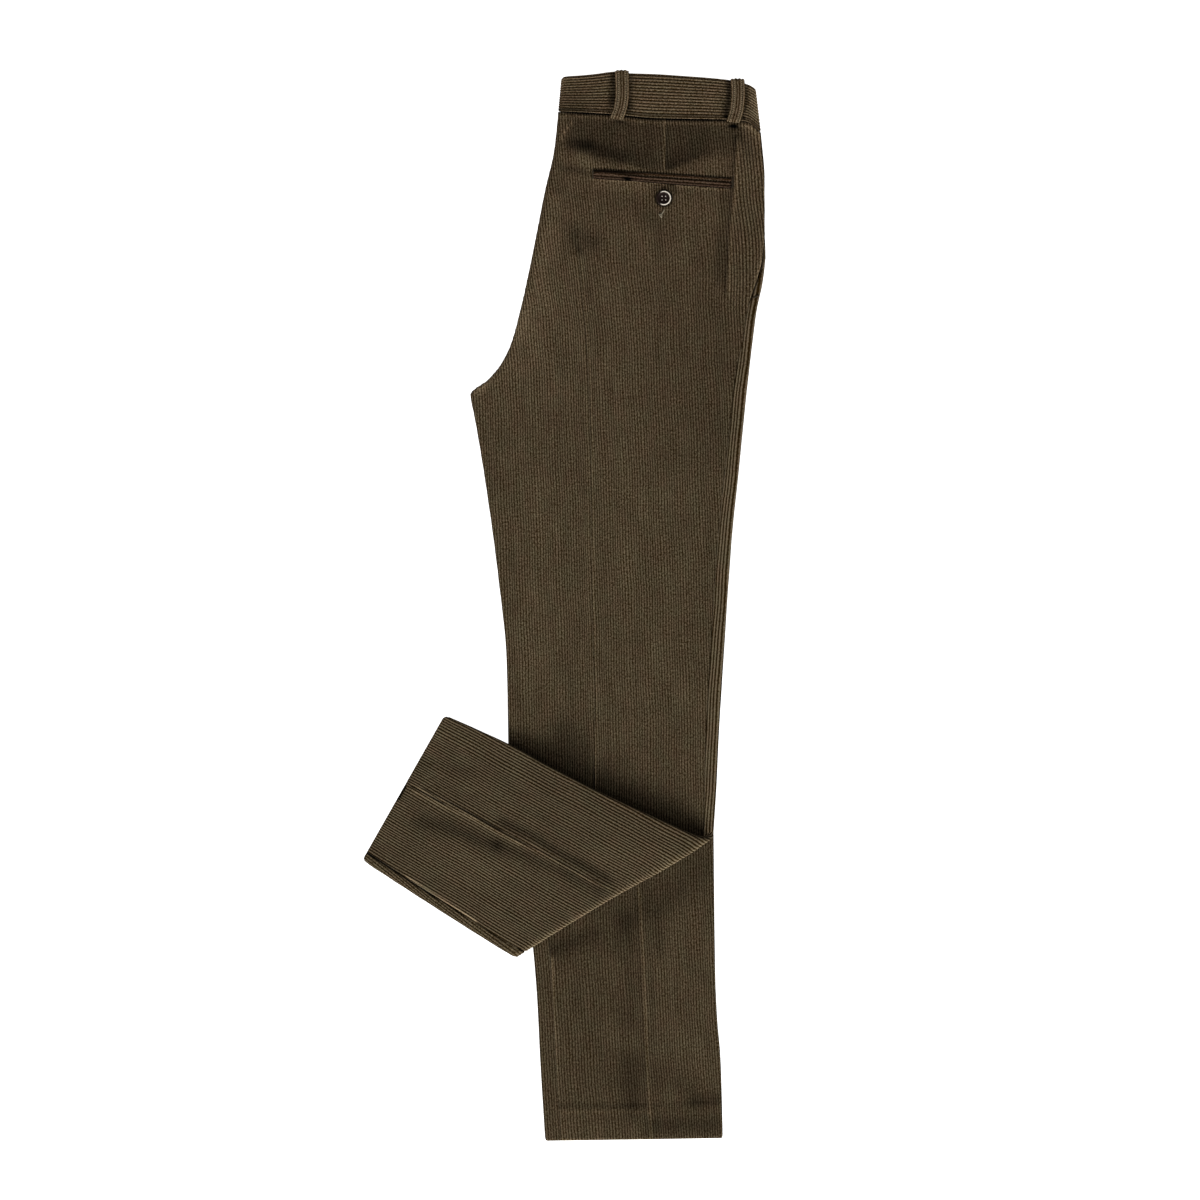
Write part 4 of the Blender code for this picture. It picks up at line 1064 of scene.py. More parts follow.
def mesh_object(name, places, faces, cloth, tone):
    mesh = bpy.data.meshes.new(name)
    mesh.from_pydata(np.asarray(places).tolist(), [], faces)
    if signed_volume(mesh) <= 0.0:
        mesh.flip_normals()
    mesh.polygons.foreach_set("use_smooth", [True] * len(mesh.polygons))
    corners = np.empty(len(mesh.loops), int)
    mesh.loops.foreach_get("vertex_index", corners)
    layer = mesh.uv_layers.new(name="cloth")
    layer.data.foreach_set("uv", np.asarray(cloth, np.float32)[corners].ravel())
    # tone: painted light and shade, which multiply the cloth's colour
    shade = mesh.attributes.new("tone", "FLOAT", "POINT")
    shade.data.foreach_set("value", np.asarray(tone, np.float32))
    mesh.set_sharp_from_angle(angle=math.radians(55.0))
    obj = bpy.data.objects.new(name, mesh)
    bpy.context.scene.collection.objects.link(obj)
    return obj


def smooth_object(name, bm):
    """The object of a finished bmesh."""
    mesh = bpy.data.meshes.new(name)
    bm.to_mesh(mesh)
    bm.free()
    mesh.polygons.foreach_set("use_smooth", [True] * len(mesh.polygons))
    obj = bpy.data.objects.new(name, mesh)
    bpy.context.scene.collection.objects.link(obj)
    return obj


def signed_volume(mesh):
    mesh.calc_loop_triangles()
    corner = np.empty(len(mesh.loop_triangles) * 3, int)
    mesh.loop_triangles.foreach_get("vertices", corner)
    co = np.empty(len(mesh.vertices) * 3)
    mesh.vertices.foreach_get("co", co)
    a, b, c = co.reshape(-1, 3)[corner].reshape(-1, 3, 3).transpose(1, 0, 2)
    return float((a * np.cross(b, c)).sum())


def wall_object(name, outer_rows, inner_rows):
    """A closed wall between two equal grids of (point, cloth point, tone)."""
    outer, inner = ([np.stack(part) for part in zip(*rows)] for rows in (outer_rows, inner_rows))
    rows, columns = outer[0].shape[:2]
    count = rows * columns
    index = np.arange(count).reshape(rows, columns)
    quads = np.stack((index[:-1, :-1], index[1:, :-1], index[1:, 1:], index[:-1, 1:]), axis=-1)
    quads = quads.reshape(-1, 4)
    faces = quads.tolist() + (quads[:, ::-1] + count).tolist()
    border = np.concatenate((index[0, :], index[1:, -1], index[-1, -2::-1], index[-2:0:-1, 0]))
    after = np.roll(border, -1)
    faces += np.stack((border, after, after + count, border + count), axis=-1).tolist()
    merged = [np.concatenate((a.reshape(count, *a.shape[2:]), b.reshape(count, *b.shape[2:])))
              for a, b in zip(outer, inner)]
    return mesh_object(name, merged[0], faces, merged[1], merged[2])


# Shader maths

class Value:
    """A number that varies over a surface: an output socket on which operators add Math nodes."""

    def __init__(self, graph, socket):
        self.graph = graph
        self.socket = socket

    def _math(self, operation, *values):
        return self.graph.node("ShaderNodeMath", {"operation": operation}, dict(enumerate(values)))

    def __add__(self, other):
        return self._math("ADD", self, other)

    def __sub__(self, other):
        return self._math("SUBTRACT", self, other)

    def __rsub__(self, other):
        return self._math("SUBTRACT", other, self)

    def __mul__(self, other):
        return self._math("MULTIPLY", self, other)

    def __truediv__(self, other):
        return self._math("DIVIDE", self, other)

    def __pow__(self, other):
        return self._math("POWER", self, other)

    __radd__ = __add__
    __rmul__ = __mul__

    def fraction(self):
        return self._math("FRACT", self)

    def size(self):
        return self._math("ABSOLUTE", self)

    def clamped(self):
        return self._math("MINIMUM", self._math("MAXIMUM", self, 0.0), 1.0)


class Graph:
    """The nodes of one material."""

    def __init__(self, material):
        material.use_nodes = True
        self.tree = material.node_tree
        self.shader = self.tree.nodes["Principled BSDF"]

    def node(self, kind, settings=None, inputs=None, output=0):
        """Adds a node: its settings, then the values or links of its sockets."""
        node = self.tree.nodes.new(kind)
        for key, value in (settings or {}).items():
            setattr(node, key, value)
        for key, value in (inputs or {}).items():
            self.connect(node.inputs[key], value)
        return Value(self, node.outputs[output])

    def connect(self, socket, value):
        if isinstance(value, Value):
            self.tree.links.new(value.socket, socket)
        else:
            socket.default_value = value

    def mix_colours(self, factor, first, second, blend="MIX"):
        inputs = {0: factor, 6: first, 7: second}
        return self.node("ShaderNodeMix", {"data_type": "RGBA", "blend_type": blend,
                                           "clamp_factor": True}, inputs, output=2)

    def noise(self, vector, scale, detail=2.0, roughness=0.5):
        return self.node("ShaderNodeTexNoise", {"noise_dimensions": "3D"},
                         {"Vector": vector, "Scale": scale, "Detail": detail,
                          "Roughness": roughness})

    def parts(self, vector):
        """The vector's first two numbers."""
        first = self.node("ShaderNodeSeparateXYZ", None, {0: vector})
        return first, Value(self, first.socket.node.outputs[1])

    def stretched(self, vector, sizes):
        """The vector measured in the given sizes, so that a pattern can be longer one way."""
        factors = tuple(1.0 / size for size in sizes)
        return self.node("ShaderNodeVectorMath", {"operation": "MULTIPLY"},
                         {0: vector, 1: factors})


def rgba(colour):
    return (*tuple(colour)[:3], 1.0)


def corduroy(name, contrast=0.6, tint=(1.0, 1.0, 1.0)):
    """Corduroy: light pile on the wales, dark bare grooves, and nap that lies unevenly."""
    cloth = bpy.context.scene.trousers_cloth
    material = bpy.data.materials.new(name)
    graph = Graph(material)
    point = graph.node("ShaderNodeUVMap", {"uv_map": "cloth"})
    across, along = graph.parts(point)
    # The tone attribute carries the painted light and shade of the mesh.
    tone = graph.node("ShaderNodeAttribute", {"attribute_name": "tone"}, output=2)
    away = ((across / (WALE * MM)).fraction() * 2.0 - 1.0).size()
    wale = 1.0 - (1.0 - away) ** 1.6
    pile = graph.noise(graph.stretched(point, (0.0013, 0.0019, 1.0)), 1.0, 1.0, 0.6)
    tufts = graph.noise(graph.stretched(point, (0.0007, 0.0010, 1.0)), 1.0, 0.0)
    patches = graph.noise(graph.stretched(point, (0.022, 0.034, 1.0)), 1.0, 3.0, 0.6)
    hues = graph.noise(graph.stretched(point, (0.015, 0.026, 1.0)), 1.0, 3.0, 0.6)
    streaks = graph.noise(graph.stretched(point, (0.0030, 0.050, 1.0)), 1.0, 1.0)
    # Where the painted light is strong the grooves fill in too, like pile seen side-on at a fold.
    raised = ((tone - 1.15) * 1.2).clamped()
    # The higher contrast given to the right front and the waistband also paints in the low lights'
    # stronger relief across their wales.
    light = ((wale + (1.0 - wale) * raised) * (1.15 * contrast) + (0.34 - 0.707 * contrast)
             + (pile - 0.5) * 2.1 + (tufts - 0.5) * 1.0 + (streaks - 0.5) * 0.35).clamped()
    groove = [part * share for part, share in zip(cloth.groove_colour, tint)]
    top = [part * share for part, share in zip(cloth.wale_colour, tint)]
    colour = graph.mix_colours(light, rgba(groove), rgba(top))
    warmth = (hues - 0.5) * 2.6 + 0.42 + ((0.45 - along) * 0.8).clamped()
    tints = graph.mix_colours(warmth.clamped(), rgba(cloth.olive_tint), rgba(cloth.warm_tint))
    colour = graph.mix_colours(1.0, colour, tints, "MULTIPLY")
    # Painted light and shade, with random patches of the nap
    shade = tone * ((patches - 0.5) * 0.55 + 1.0)
    grey = graph.node("ShaderNodeCombineColor", None, {0: shade, 1: shade, 2: shade})
    colour = graph.mix_colours(1.0, colour, grey, "MULTIPLY")
    graph.connect(graph.shader.inputs["Base Color"], colour)
    graph.connect(graph.shader.inputs["Roughness"], 0.96 - wale * 0.10)
    height = wale * 0.5 + (pile - 0.5) * 0.8 + (tufts - 0.5) * 0.6
    bump = graph.node("ShaderNodeBump", None, {"Strength": cloth.pile_bump,
                                               "Distance": 0.0006, "Height": height})
    graph.connect(graph.shader.inputs["Normal"], bump)
    graph.connect(graph.shader.inputs["Sheen Weight"], cloth.sheen)
    graph.connect(graph.shader.inputs["Sheen Roughness"], 0.45)
    graph.connect(graph.shader.inputs["Sheen Tint"], rgba(cloth.sheen_tint))
    graph.connect(graph.shader.inputs["Specular IOR Level"], 0.02)
    return material


def inner_cloth(name):
    """The plain back of the corduroy, on the solid of the hidden layers."""
    cloth = bpy.context.scene.trousers_cloth
    material = bpy.data.materials.new(name)
    graph = Graph(material)
    point = graph.node("ShaderNodeTexCoord", output=3)
    twill = graph.noise(graph.stretched(point, (0.0010, 0.0016, 0.0010)), 1.0, 2.0)
    colour = graph.mix_colours(twill, rgba(cloth.groove_colour), rgba(cloth.wale_colour))
    graph.connect(graph.shader.inputs["Base Color"], colour)
    graph.connect(graph.shader.inputs["Roughness"], 0.9 + twill * 0.08)
    bump = graph.node("ShaderNodeBump", None, {"Strength": 0.4, "Distance": 0.0004,
                                               "Height": twill})
    graph.connect(graph.shader.inputs["Normal"], bump)
    return material


def in_corduroy(obj, node, material):
    """Settles a cloth piece in the frame: gives it its finish, sets it on the body and hides the
    node it replaces.
    """
    obj.data.materials.append(material)
    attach(obj, BODY)
    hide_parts(node)
    return obj


def cloth_piece(obj, node, material):
    """The same as in_corduroy."""
    in_corduroy(obj, node, material)


# Panels

def back_swell(x, down, out_z):
    under = turned_swell(past_roll(x, down)) * np.sin(math.pi * share_across(x, down))
    return np.where(out_z > 0.0, crown(x, down), under)


def lower_leg_swell(x, down, out_z):
    under = lower_swell(past_roll(x, down)) * np.sin(math.pi * share_across(x, down))
    return np.where(out_z > 0.0, 0.0, under)


def roll_rows():
    return [along_fold(ROLL_LENGTH * i / 12.0) for i in range(13)]


def make_back_right():
    rows = upper_rows_to_fold(True)
    rows += [along_fold(past) for past in (-14.0, FULL_FRONT_START, -3.0)]
    rows += roll_rows() + turned_rows(8, 8)
    sections = [BackPanel(UPPER, row) for row in rows]
    grid = PanelGrid(rows, sections, back_shift, UPPER, back_swell, upper_relief, upper_tone,
                     edge_tone=pocket_mouth_light, under_tone=turned_under_tone,
                     grooves=hip_grooves)
    return panel_object("right_back_panel", grid)


def hem_peek(rows):
    """How far the right front's hem draws back over the middle, so that the back's shows."""
    def recess(x, i):
        if i < rows - 6:
            return 0.0
        return 2.6 * ease((x - 34.0) / 7.0) * (1.0 - ease((x - 53.0) / 6.0))
    return recess


def make_front_right():
    kept = upper_rows_to_fold(True)
    rolled = [along_fold(past) for past in (FULL_FRONT_START, -4.0)] + roll_rows()
    rows = kept + rolled + turned_rows(22, 20)
    sections = []
    for i, row in enumerate(rows):
        gap = ROLL_GAP if len(kept) <= i < len(kept) + len(rolled) else SEAM_GAP
        down = row(ROW_RIGHT_X)
        pocket = ease((down - FRONT_POCKET_START) / 8.0)
        pocket = pocket * (1.0 - ease((down - FRONT_POCKET_END + 6.0) / 6.0))
        gap = mix(gap, POCKET_GAP, float(pocket))
        sections.append(FrontPanel(UPPER, row, i < len(kept), gap))
    grid = PanelGrid(rows, sections, front_shift, UPPER, back_swell, turned_relief, front_tone,
                     hem_peek(len(rows)), edge_tone=front_seam_painted_shade)
    return panel_object("right_front_panel", grid)


def make_front_left():
    rows = lower_rows_from_fold()
    sections = [FrontPanel(LOWER, row, False, SEAM_GAP) for row in rows]
    grid = PanelGrid(rows, sections, lower_shift, LOWER, lower_leg_swell, lower_relief,
                     lower_tone)
    return panel_object("left_front_panel", grid)


def make_back_left():
    rows = upper_rows_to_fold(False) + lower_rows_from_fold()[1:]
    sections = [BackPanel(LOWER, row) for row in rows]
    grid = PanelGrid(rows, sections, lower_back_shift, LOWER, lower_leg_swell, unchanged,
                     plain_tone, under_tone=left_strip_tone)
    return panel_object("left_back_panel", grid)


# Waistband and belt loops

def band_stations():
    """Round one half of the waistband, from the centre back to the centre front inside."""
    height = LEG_HEIGHT + BAND_RISE
    radius = height / 2.0
    shares = np.concatenate((np.linspace(0.0, 0.84, 22)[:-1], np.linspace(0.84, 1.0, 12)))
    stations = []
    for turn in np.linspace(math.pi / 2.0, 0.0, 7)[:-1]:
        out = np.array((-math.sin(turn) / SEAT_ROUNDING, math.cos(turn) / height))
        out /= np.linalg.norm(out)
        stations.append((0.0, SEAT_ROUNDING * (1.0 - math.sin(turn)),
                         UPPER_BASE + height * math.cos(turn), out[0], out[1]))
    insets = mix(SEAT_ROUNDING, -radius, shares)
    for share, inset in zip(shares, insets):
        stations.append((share, inset, UPPER_BASE + height, 0.0, 1.0))
    for turn in np.linspace(0.0, math.pi, 13)[1:]:
        stations.append((1.0, radius * (math.sin(turn) - 1.0),
                         UPPER_BASE + radius * (1.0 + math.cos(turn)),
                         math.sin(turn), math.cos(turn)))
    for share, inset in zip(shares[-2::-1], insets[-2::-1]):
        stations.append((share, inset, UPPER_BASE, 0.0, -1.0))
    return stations


def band_tone(x, down, part):
    """Tone of the waistband: a dark row of stitches near its lower edge, and a little painted shade
    along its top edge.
    """
    from_top = part * BAND_HEIGHT
    stitches = soft_line(from_top - (BAND_HEIGHT - 2.4), 0.9)
    tone = 1.06 - 0.75 * stitches - 0.10 * soft_line(from_top, 1.5)
    return tone + strokes_tone(BAND_STROKES, x, down)


def band_points(station, part, inward, mirrored):
    share, inset, z, out_x, out_z = station
    left = mix(BAND_LEFT[0], BAND_LEFT[1], part)
    right = mix(BAND_RIGHT[0], BAND_RIGHT[1], part)
    x = mix(left, right, share) + inset - out_x * inward
    share = (x - left) / (right - left)
    down = mix(band_top(share), band_bottom(share), part)
    if out_z > 0.0 and not mirrored:
        z = z + crown(x, down) * out_z
    z = z - out_z * inward
    cloth = np.stack((part * BAND_WALES * WALE, x), axis=-1) * MM
    tone = band_tone(x, down, part) if out_z > 0.0 and not mirrored else np.ones(len(part))
    return place(x, down, MIRROR_Z - z if mirrored else z), cloth, tone


def make_band(name, mirrored):
    relief = bpy.context.scene.trousers_cloth.wale_relief / MM
    part = np.linspace(0.0, 1.0, BAND_WALES * COLUMNS_PER_WALE + 1)
    to_edge = np.minimum(part, 1.0 - part) * BAND_HEIGHT
    rounding = 1.3 * (1.0 - np.sqrt(1.0 - (1.0 - np.minimum(to_edge / 1.6, 1.0)) ** 2))
    wales = relief * 1.1 * (1.0 - wale_profile(part * BAND_WALES * WALE))
    outer, inner = [], []
    for station in band_stations():
        outer.append(band_points(station, part, wales + rounding, mirrored))
        inner.append(band_points(station, part, BAND_WALL, mirrored))
    return wall_object(name, outer, inner)


def loop_points(loop, part, across):
    """x, down and how far a belt loop stands up, for shares down it and across it."""
    end = np.abs(2.0 * across - 1.0)
    down = mix(loop.top_down, loop.bottom_down, part) - 1.1 * end ** 4 * (2.0 * part - 1.0) ** 9
    down = down + 0.35 * np.sin(23.0 * across + loop.top_down) * (1.0 - part) ** 12
    down = down + loop.foot_slope * (2.0 * across - 1.0) * part ** 5
    x = Curve(loop.left)(part) + LOOP_WIDTH * across
    lift = 0.6 * np.sin(math.pi * part) + 0.7 * np.exp(-((part - 0.92) / 0.06) ** 2)
    return x, down, lift


def loop_tone(part, to_edge):
    """Tone of a belt loop: painted light on its edges, a painted dark line inside them and painted
    shade at the foot's turn.
    """
    tone = 1.10 + 0.55 * soft_line(to_edge - 0.9, 0.8) - 0.45 * soft_line(to_edge - 2.3, 0.5)
    tone = tone + 0.25 * soft_line(to_edge - LOOP_STITCHES, 0.7) - 0.9 * soft_line(to_edge, 0.3)
    return tone - 0.6 * soft_line(1.0 - part, 0.02)


def make_loop(name, loop, mirrored):
    """A belt loop: flat on the band's top edge, proud over it, and turned under at its foot."""
    across = np.linspace(0.0, 1.0, 29)
    to_edge = np.minimum(across, 1.0 - across) * LOOP_WIDTH
    rounding = 0.9 * (1.0 - np.minimum(to_edge / 1.4, 1.0)) ** 2
    wales = 0.36 * (1.0 - wale_profile((across - 0.5) * LOOP_WIDTH))
    stitch_groove = 0.30 * soft_line(to_edge - LOOP_STITCHES, 0.5)
    outer, inner = [], []
    ends = np.array((0.0, 0.012, 0.03))
    for part in np.concatenate((ends, np.linspace(0.06, 0.94, 15), 1.0 - ends[::-1])):
        x, down, lift = loop_points(loop, np.full(len(across), part), across)
        end = min(part, 1.0 - part) * (loop.bottom_down - loop.top_down)
        end_round = 1.0 * max(1.0 - end / 1.6, 0.0) ** 2
        base = UPPER_TOP + BAND_RISE + LAID_ON_GAP + lift
        base = base + (0.0 if mirrored else crown(x, down))
        top = base + LOOP_THICKNESS - rounding - wales - stitch_groove - end_round
        if mirrored:
            top, base = MIRROR_Z - top + lift, MIRROR_Z - base + lift
        cloth = np.stack(((across - 0.5) * LOOP_WIDTH, down), axis=-1) * MM
        tone = loop_tone(part, to_edge)
        outer.append((place(x, down, top), cloth, tone))
        inner.append((place(x, down, base), cloth, tone))
    return wall_object(name, outer, inner)


# What lies on the hip

def pocket_row(x):
    """How far down the upper edge of the back pocket lies."""
    return POCKET_DOWN + POCKET_SLOPE * (x - POCKET_LEFT)


def upper_lip_tone(across, x):
    """Tone of the upper welt: painted shade, darkest at the left, and painted light along its
    middle further right.
    """
    open_left = 1.0 - ease((x - 50.0) / 50.0)
    light = 0.75 * (1.0 - open_left) * soft_line(across - 0.58, 0.22)
    return 0.50 + light - 0.42 * open_left


def lower_lip_tone(across, x):
    """Tone of the lower welt: painted light on its rolled edge, painted shade in the groove below
    it, in its dent and at its edges.
    """
    left = 1.0 - ease((x - 45.0) / 25.0)
    lit = left * soft_line(across - 0.08, 0.25)
    top = (1.0 - left) * soft_line(across - 0.30, 0.14)
    groove = soft_line(across - 0.52, 0.06)
    dent = soft_line(x - WELT_DENT_X, 4.0) * soft_line(across - 0.60, 0.30)
    end = soft_line(x - POCKET_RIGHT, 2.2)
    under_slit = (1.0 - left) * (1.0 - ease(across / 0.12))
    low_edge = ease((across - 0.82) / 0.10)
    return (0.55 + 0.80 * lit + 0.42 * top - 0.35 * groove - 0.9 * dent - 0.55 * end
            - 0.5 * under_slit - 0.54 * low_edge)


def make_lip(name, offset, width, growth, rise, tone_at):
    """One welt of the back pocket: `growth` wider at the right, and `rise` higher at the left."""
    outer, inner = [], []
    across = np.linspace(0.0, 1.0, 13)
    for along in np.linspace(POCKET_LEFT, POCKET_RIGHT, 71):
        x = np.full(len(across), along)
        raised = rise * (1.0 - ease((x - 50.0) / 30.0))
        start = pocket_row(x) + offset - raised
        wide = width + raised + growth * ease((x - 60.0) / 60.0)
        to_end = min(along - POCKET_LEFT, POCKET_RIGHT - along)
        narrowing = 0.12 * max(1.0 - to_end / 4.0, 0.0)
        down = start + wide * mix(narrowing, 1.0 - narrowing, across)
        low = 0.5 * (2.0 * np.abs(across - 0.5)) ** 3
        low = low + 0.25 * soft_line(x - WELT_DENT_X, 4.5) * soft_line(across - 0.3, 0.3)
        base = hip_height(x, down) + LIP_GAP
        top = base + LIP_THICKNESS - low
        cloth = np.stack((offset + width * across, x), axis=-1) * MM
        tone = tone_at(across, x)
        outer.append((place(x, down, top), cloth, tone))
        inner.append((place(x, down, base), cloth, tone))
    return wall_object(name, outer, inner)


def revolve(name, profile, steps):
    """A turned solid from its profile of (radius, height), which starts and ends on the axis."""
    bm = bmesh.new()
    verts = [bm.verts.new((r * MM, 0.0, z * MM)) for r, z in profile]
    edges = [bm.edges.new(pair) for pair in zip(verts, verts[1:])]
    bmesh.ops.spin(bm, geom=verts + edges, axis=(0, 0, 1), cent=(0, 0, 0), steps=steps,
                   angle=2.0 * math.pi)
    bmesh.ops.remove_doubles(bm, verts=bm.verts, dist=1e-6)
    bmesh.ops.recalc_face_normals(bm, faces=bm.faces)
    return smooth_object(name, bm)


def horn(name):
    """Polished brown horn, with a pale rim that is a painted highlight, fading out at its left."""
    sewing = bpy.context.scene.trousers_sewing
    material = bpy.data.materials.new(name)
    graph = Graph(material)
    coordinates = graph.node("ShaderNodeTexCoord", output=3)
    x, y = graph.parts(coordinates)
    radius = (x * x + y * y) ** 0.5
    rim = (1.5 - (radius - 0.0066).size() / 0.00048).clamped()
    swirl = graph.noise(graph.stretched(coordinates, (0.004, 0.0015, 0.004)), 1.0, 3.0)
    body = graph.mix_colours(swirl, rgba(sewing.button_dark), rgba(sewing.button_light))
    # Painted highlight: the pale rim, on all of the button but its left side
    lit = (x * 420.0 + 1.6).clamped()
    colour = graph.mix_colours((rim * lit).clamped(), body, rgba(sewing.button_rim_highlight))
    graph.connect(graph.shader.inputs["Base Color"], colour)
    graph.connect(graph.shader.inputs["Roughness"], 0.42 + swirl * 0.12)
    graph.connect(graph.shader.inputs["Specular IOR Level"], 0.08)
    return material


def make_button():
    radius = bpy.context.scene.trousers_sewing.button_diameter / 2.0 / MM
    top = BUTTON_THICKNESS
    profile = [(0.0, 0.0), (radius - 1.6, 0.0), (radius - 0.5, 0.5), (radius, 1.3)]
    for turn in np.linspace(0.0, math.pi, 9):
        profile.append((radius - 0.95 + 0.95 * math.cos(turn), top - 0.75 + 0.75 * math.sin(turn)))
    profile += [(radius - 2.3, top - 1.2), (radius - 3.2, top - 1.35), (0.0, top - 1.3)]
    button = revolve("pocket_button_turned", profile, 64)
    base = float(hip_height(BUTTON_X, BUTTON_DOWN)) + LAID_ON_GAP
    button.location = place(BUTTON_X, BUTTON_DOWN, base).tolist()
    cutters = []
    for i in range(4):
        turn = math.pi / 4.0 + math.pi / 2.0 * i
        bm = bmesh.new()
        bmesh.ops.create_cone(bm, cap_ends=True, segments=20, radius1=HOLE_RADIUS * MM,
                              radius2=HOLE_RADIUS * MM, depth=HOLE_DEPTH * MM,
                              matrix=Matrix.Identity(4))
        hole = smooth_object("hole", bm)
        aside = Vector((math.cos(turn), math.sin(turn), 0.0)) * HOLE_REACH * MM
        hole.location = button.location + aside
        cut = button.modifiers.new(f"hole_{i + 1}", "BOOLEAN")
        cut.operation = "DIFFERENCE"
        cut.solver = "EXACT"
        cut.object = hole
        cutters.append(hole)
    apply_modifiers(button)
    for hole in cutters:
        bpy.data.objects.remove(hole)
    return button


def apply_modifiers(obj):
    depsgraph = bpy.context.evaluated_depsgraph_get()
    made = bpy.data.meshes.new_from_object(obj.evaluated_get(depsgraph))
    obj.modifiers.clear()
    obj.data = made
    made.set_sharp_from_angle(angle=math.radians(40.0))


# Threads

def capsule(bm, start, end, radius):
    """A short stretch of thread between two points."""
    sides = 6
    axis = end - start
    turn = axis.to_track_quat("Z", "Y").to_matrix().to_4x4()
    rings = []
    for share, width in ((-0.04, 0.35), (0.08, 0.9), (0.5, 1.0), (0.92, 0.9), (1.04, 0.35)):
        ring = []
        for j in range(sides):
            angle = 2.0 * math.pi * j / sides
            at = Vector((math.cos(angle) * radius * width, math.sin(angle) * radius * width,
                         axis.length * share))
            ring.append(bm.verts.new(start + turn @ at))
        rings.append(ring)
    for a, b in zip(rings, rings[1:]):
        for j in range(sides):
            k = (j + 1) % sides
            bm.faces.new((a[j], a[k], b[k], b[j]))
    bm.faces.new(rings[0][::-1])
    bm.faces.new(rings[-1])


def thread_object(name, stretches):
    """Joined stretches of thread, each (start, end, radius) in metres."""
    bm = bmesh.new()
    for start, end, radius in stretches:
        capsule(bm, Vector(start), Vector(end), radius)
    return smooth_object(name, bm)


def thread(name, colour):
    """Twisted polyester thread."""
    material = bpy.data.materials.new(name)
    graph = Graph(material)
    coordinates = graph.node("ShaderNodeTexCoord", output=3)
    fibre = graph.noise(graph.stretched(coordinates, (0.0004, 0.0012, 0.0004)), 1.0, 2.0)
    dark = tuple(0.55 * part for part in tuple(colour)[:3])
    graph.connect(graph.shader.inputs["Base Color"],
                  graph.mix_colours(fibre, rgba(dark), rgba(colour)))
    graph.connect(graph.shader.inputs["Roughness"], 0.5 + fibre * 0.2)
    graph.connect(graph.shader.inputs["Specular IOR Level"], 0.12)
    return material


def sewn(obj, material):
    obj.data.materials.append(material)
    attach(obj, BODY)
    return obj


def loop_stitches(loop, mirrored):
    """Both rows of stitches down a belt loop."""
    stretches = []
    steps = 22
    for row_at in (LOOP_STITCHES, LOOP_WIDTH - LOOP_STITCHES):
        for i in range(steps):
            part = np.array(((i + 0.20) / steps, (i + 0.80) / steps))
            x, down, lift = loop_points(loop, part, row_at / LOOP_WIDTH)
            z = UPPER_TOP + BAND_RISE + LAID_ON_GAP + LOOP_THICKNESS - 0.34
            z = MIRROR_Z - z if mirrored else z + lift + crown(x, down)
            stretches.append((*place(x, down, z).tolist(), LOOP_THREAD * MM))
    return stretches


def bar_tack(centre, direction, length, height_at, count):
    """Close stitches side by side across a bar."""
    along = np.array(direction) / np.linalg.norm(direction)
    side = np.array((-along[1], along[0]))
    stretches = []
    for i in range(count):
        at = np.array(centre) + along * length * ((i + 0.5) / count - 0.5)
        ends = []
        for half in (-0.5, 0.5):
            x, down = at + side * TACK_WIDTH * half
            ends.append(place(x, down, float(height_at(x, down))).tolist())
        stretches.append((*ends, TACK_THREAD * MM))
    return stretches


# Studio

def make_floor(studio):
    """A pale floor with some light of its own, like a lit table."""
    mesh = bpy.data.meshes.new("floor")
    corners = [(x * FLOOR_REACH, y * FLOOR_REACH, 0.0)
               for x, y in ((-1, -1), (1, -1), (1, 1), (-1, 1))]
    mesh.from_pydata(corners, [], [(0, 1, 2, 3)])
    floor = bpy.data.objects.new("floor", mesh)
    bpy.context.scene.collection.objects.link(floor)
    material = bpy.data.materials.new("floor_paper")
    graph = Graph(material)
    graph.connect(graph.shader.inputs["Base Color"], rgba(studio.floor_colour))
    graph.connect(graph.shader.inputs["Roughness"], 0.9)
    graph.connect(graph.shader.inputs["Emission Color"], rgba(studio.floor_colour))
    graph.connect(graph.shader.inputs["Emission Strength"], studio.floor_glow)
    mesh.materials.append(material)


def light_the_room(strength):
    """Even white light from all round."""
    world = bpy.data.worlds.new("room")
    world.use_nodes = True
    background = world.node_tree.nodes["Background"]
    background.inputs["Color"].default_value = (1.0, 1.0, 1.0, 1.0)
    background.inputs["Strength"].default_value = strength
    bpy.context.scene.world = world


def area_light(name, power, size, location):
    """A square light that faces the garment's middle."""
    light = bpy.data.lights.new(name, "AREA")
    light.energy = power
    light.size = size
    obj = bpy.data.objects.new(name, light)
    obj.location = location
    obj.rotation_euler = (-Vector(location)).to_track_quat("-Z", "Y").to_euler()
    bpy.context.scene.collection.objects.link(obj)


def make_camera(height):
    """A camera straight above, whose frame is the photograph's."""
    camera_data = bpy.data.cameras.new("camera")
    camera_data.sensor_width = SENSOR_WIDTH
    camera_data.lens = SENSOR_WIDTH * height / PHOTO_SPAN
    camera = bpy.data.objects.new("camera", camera_data)
    camera.location = (*PHOTO_CENTRE, height)
    bpy.context.scene.collection.objects.link(camera)
    bpy.context.scene.camera = camera


# Settings

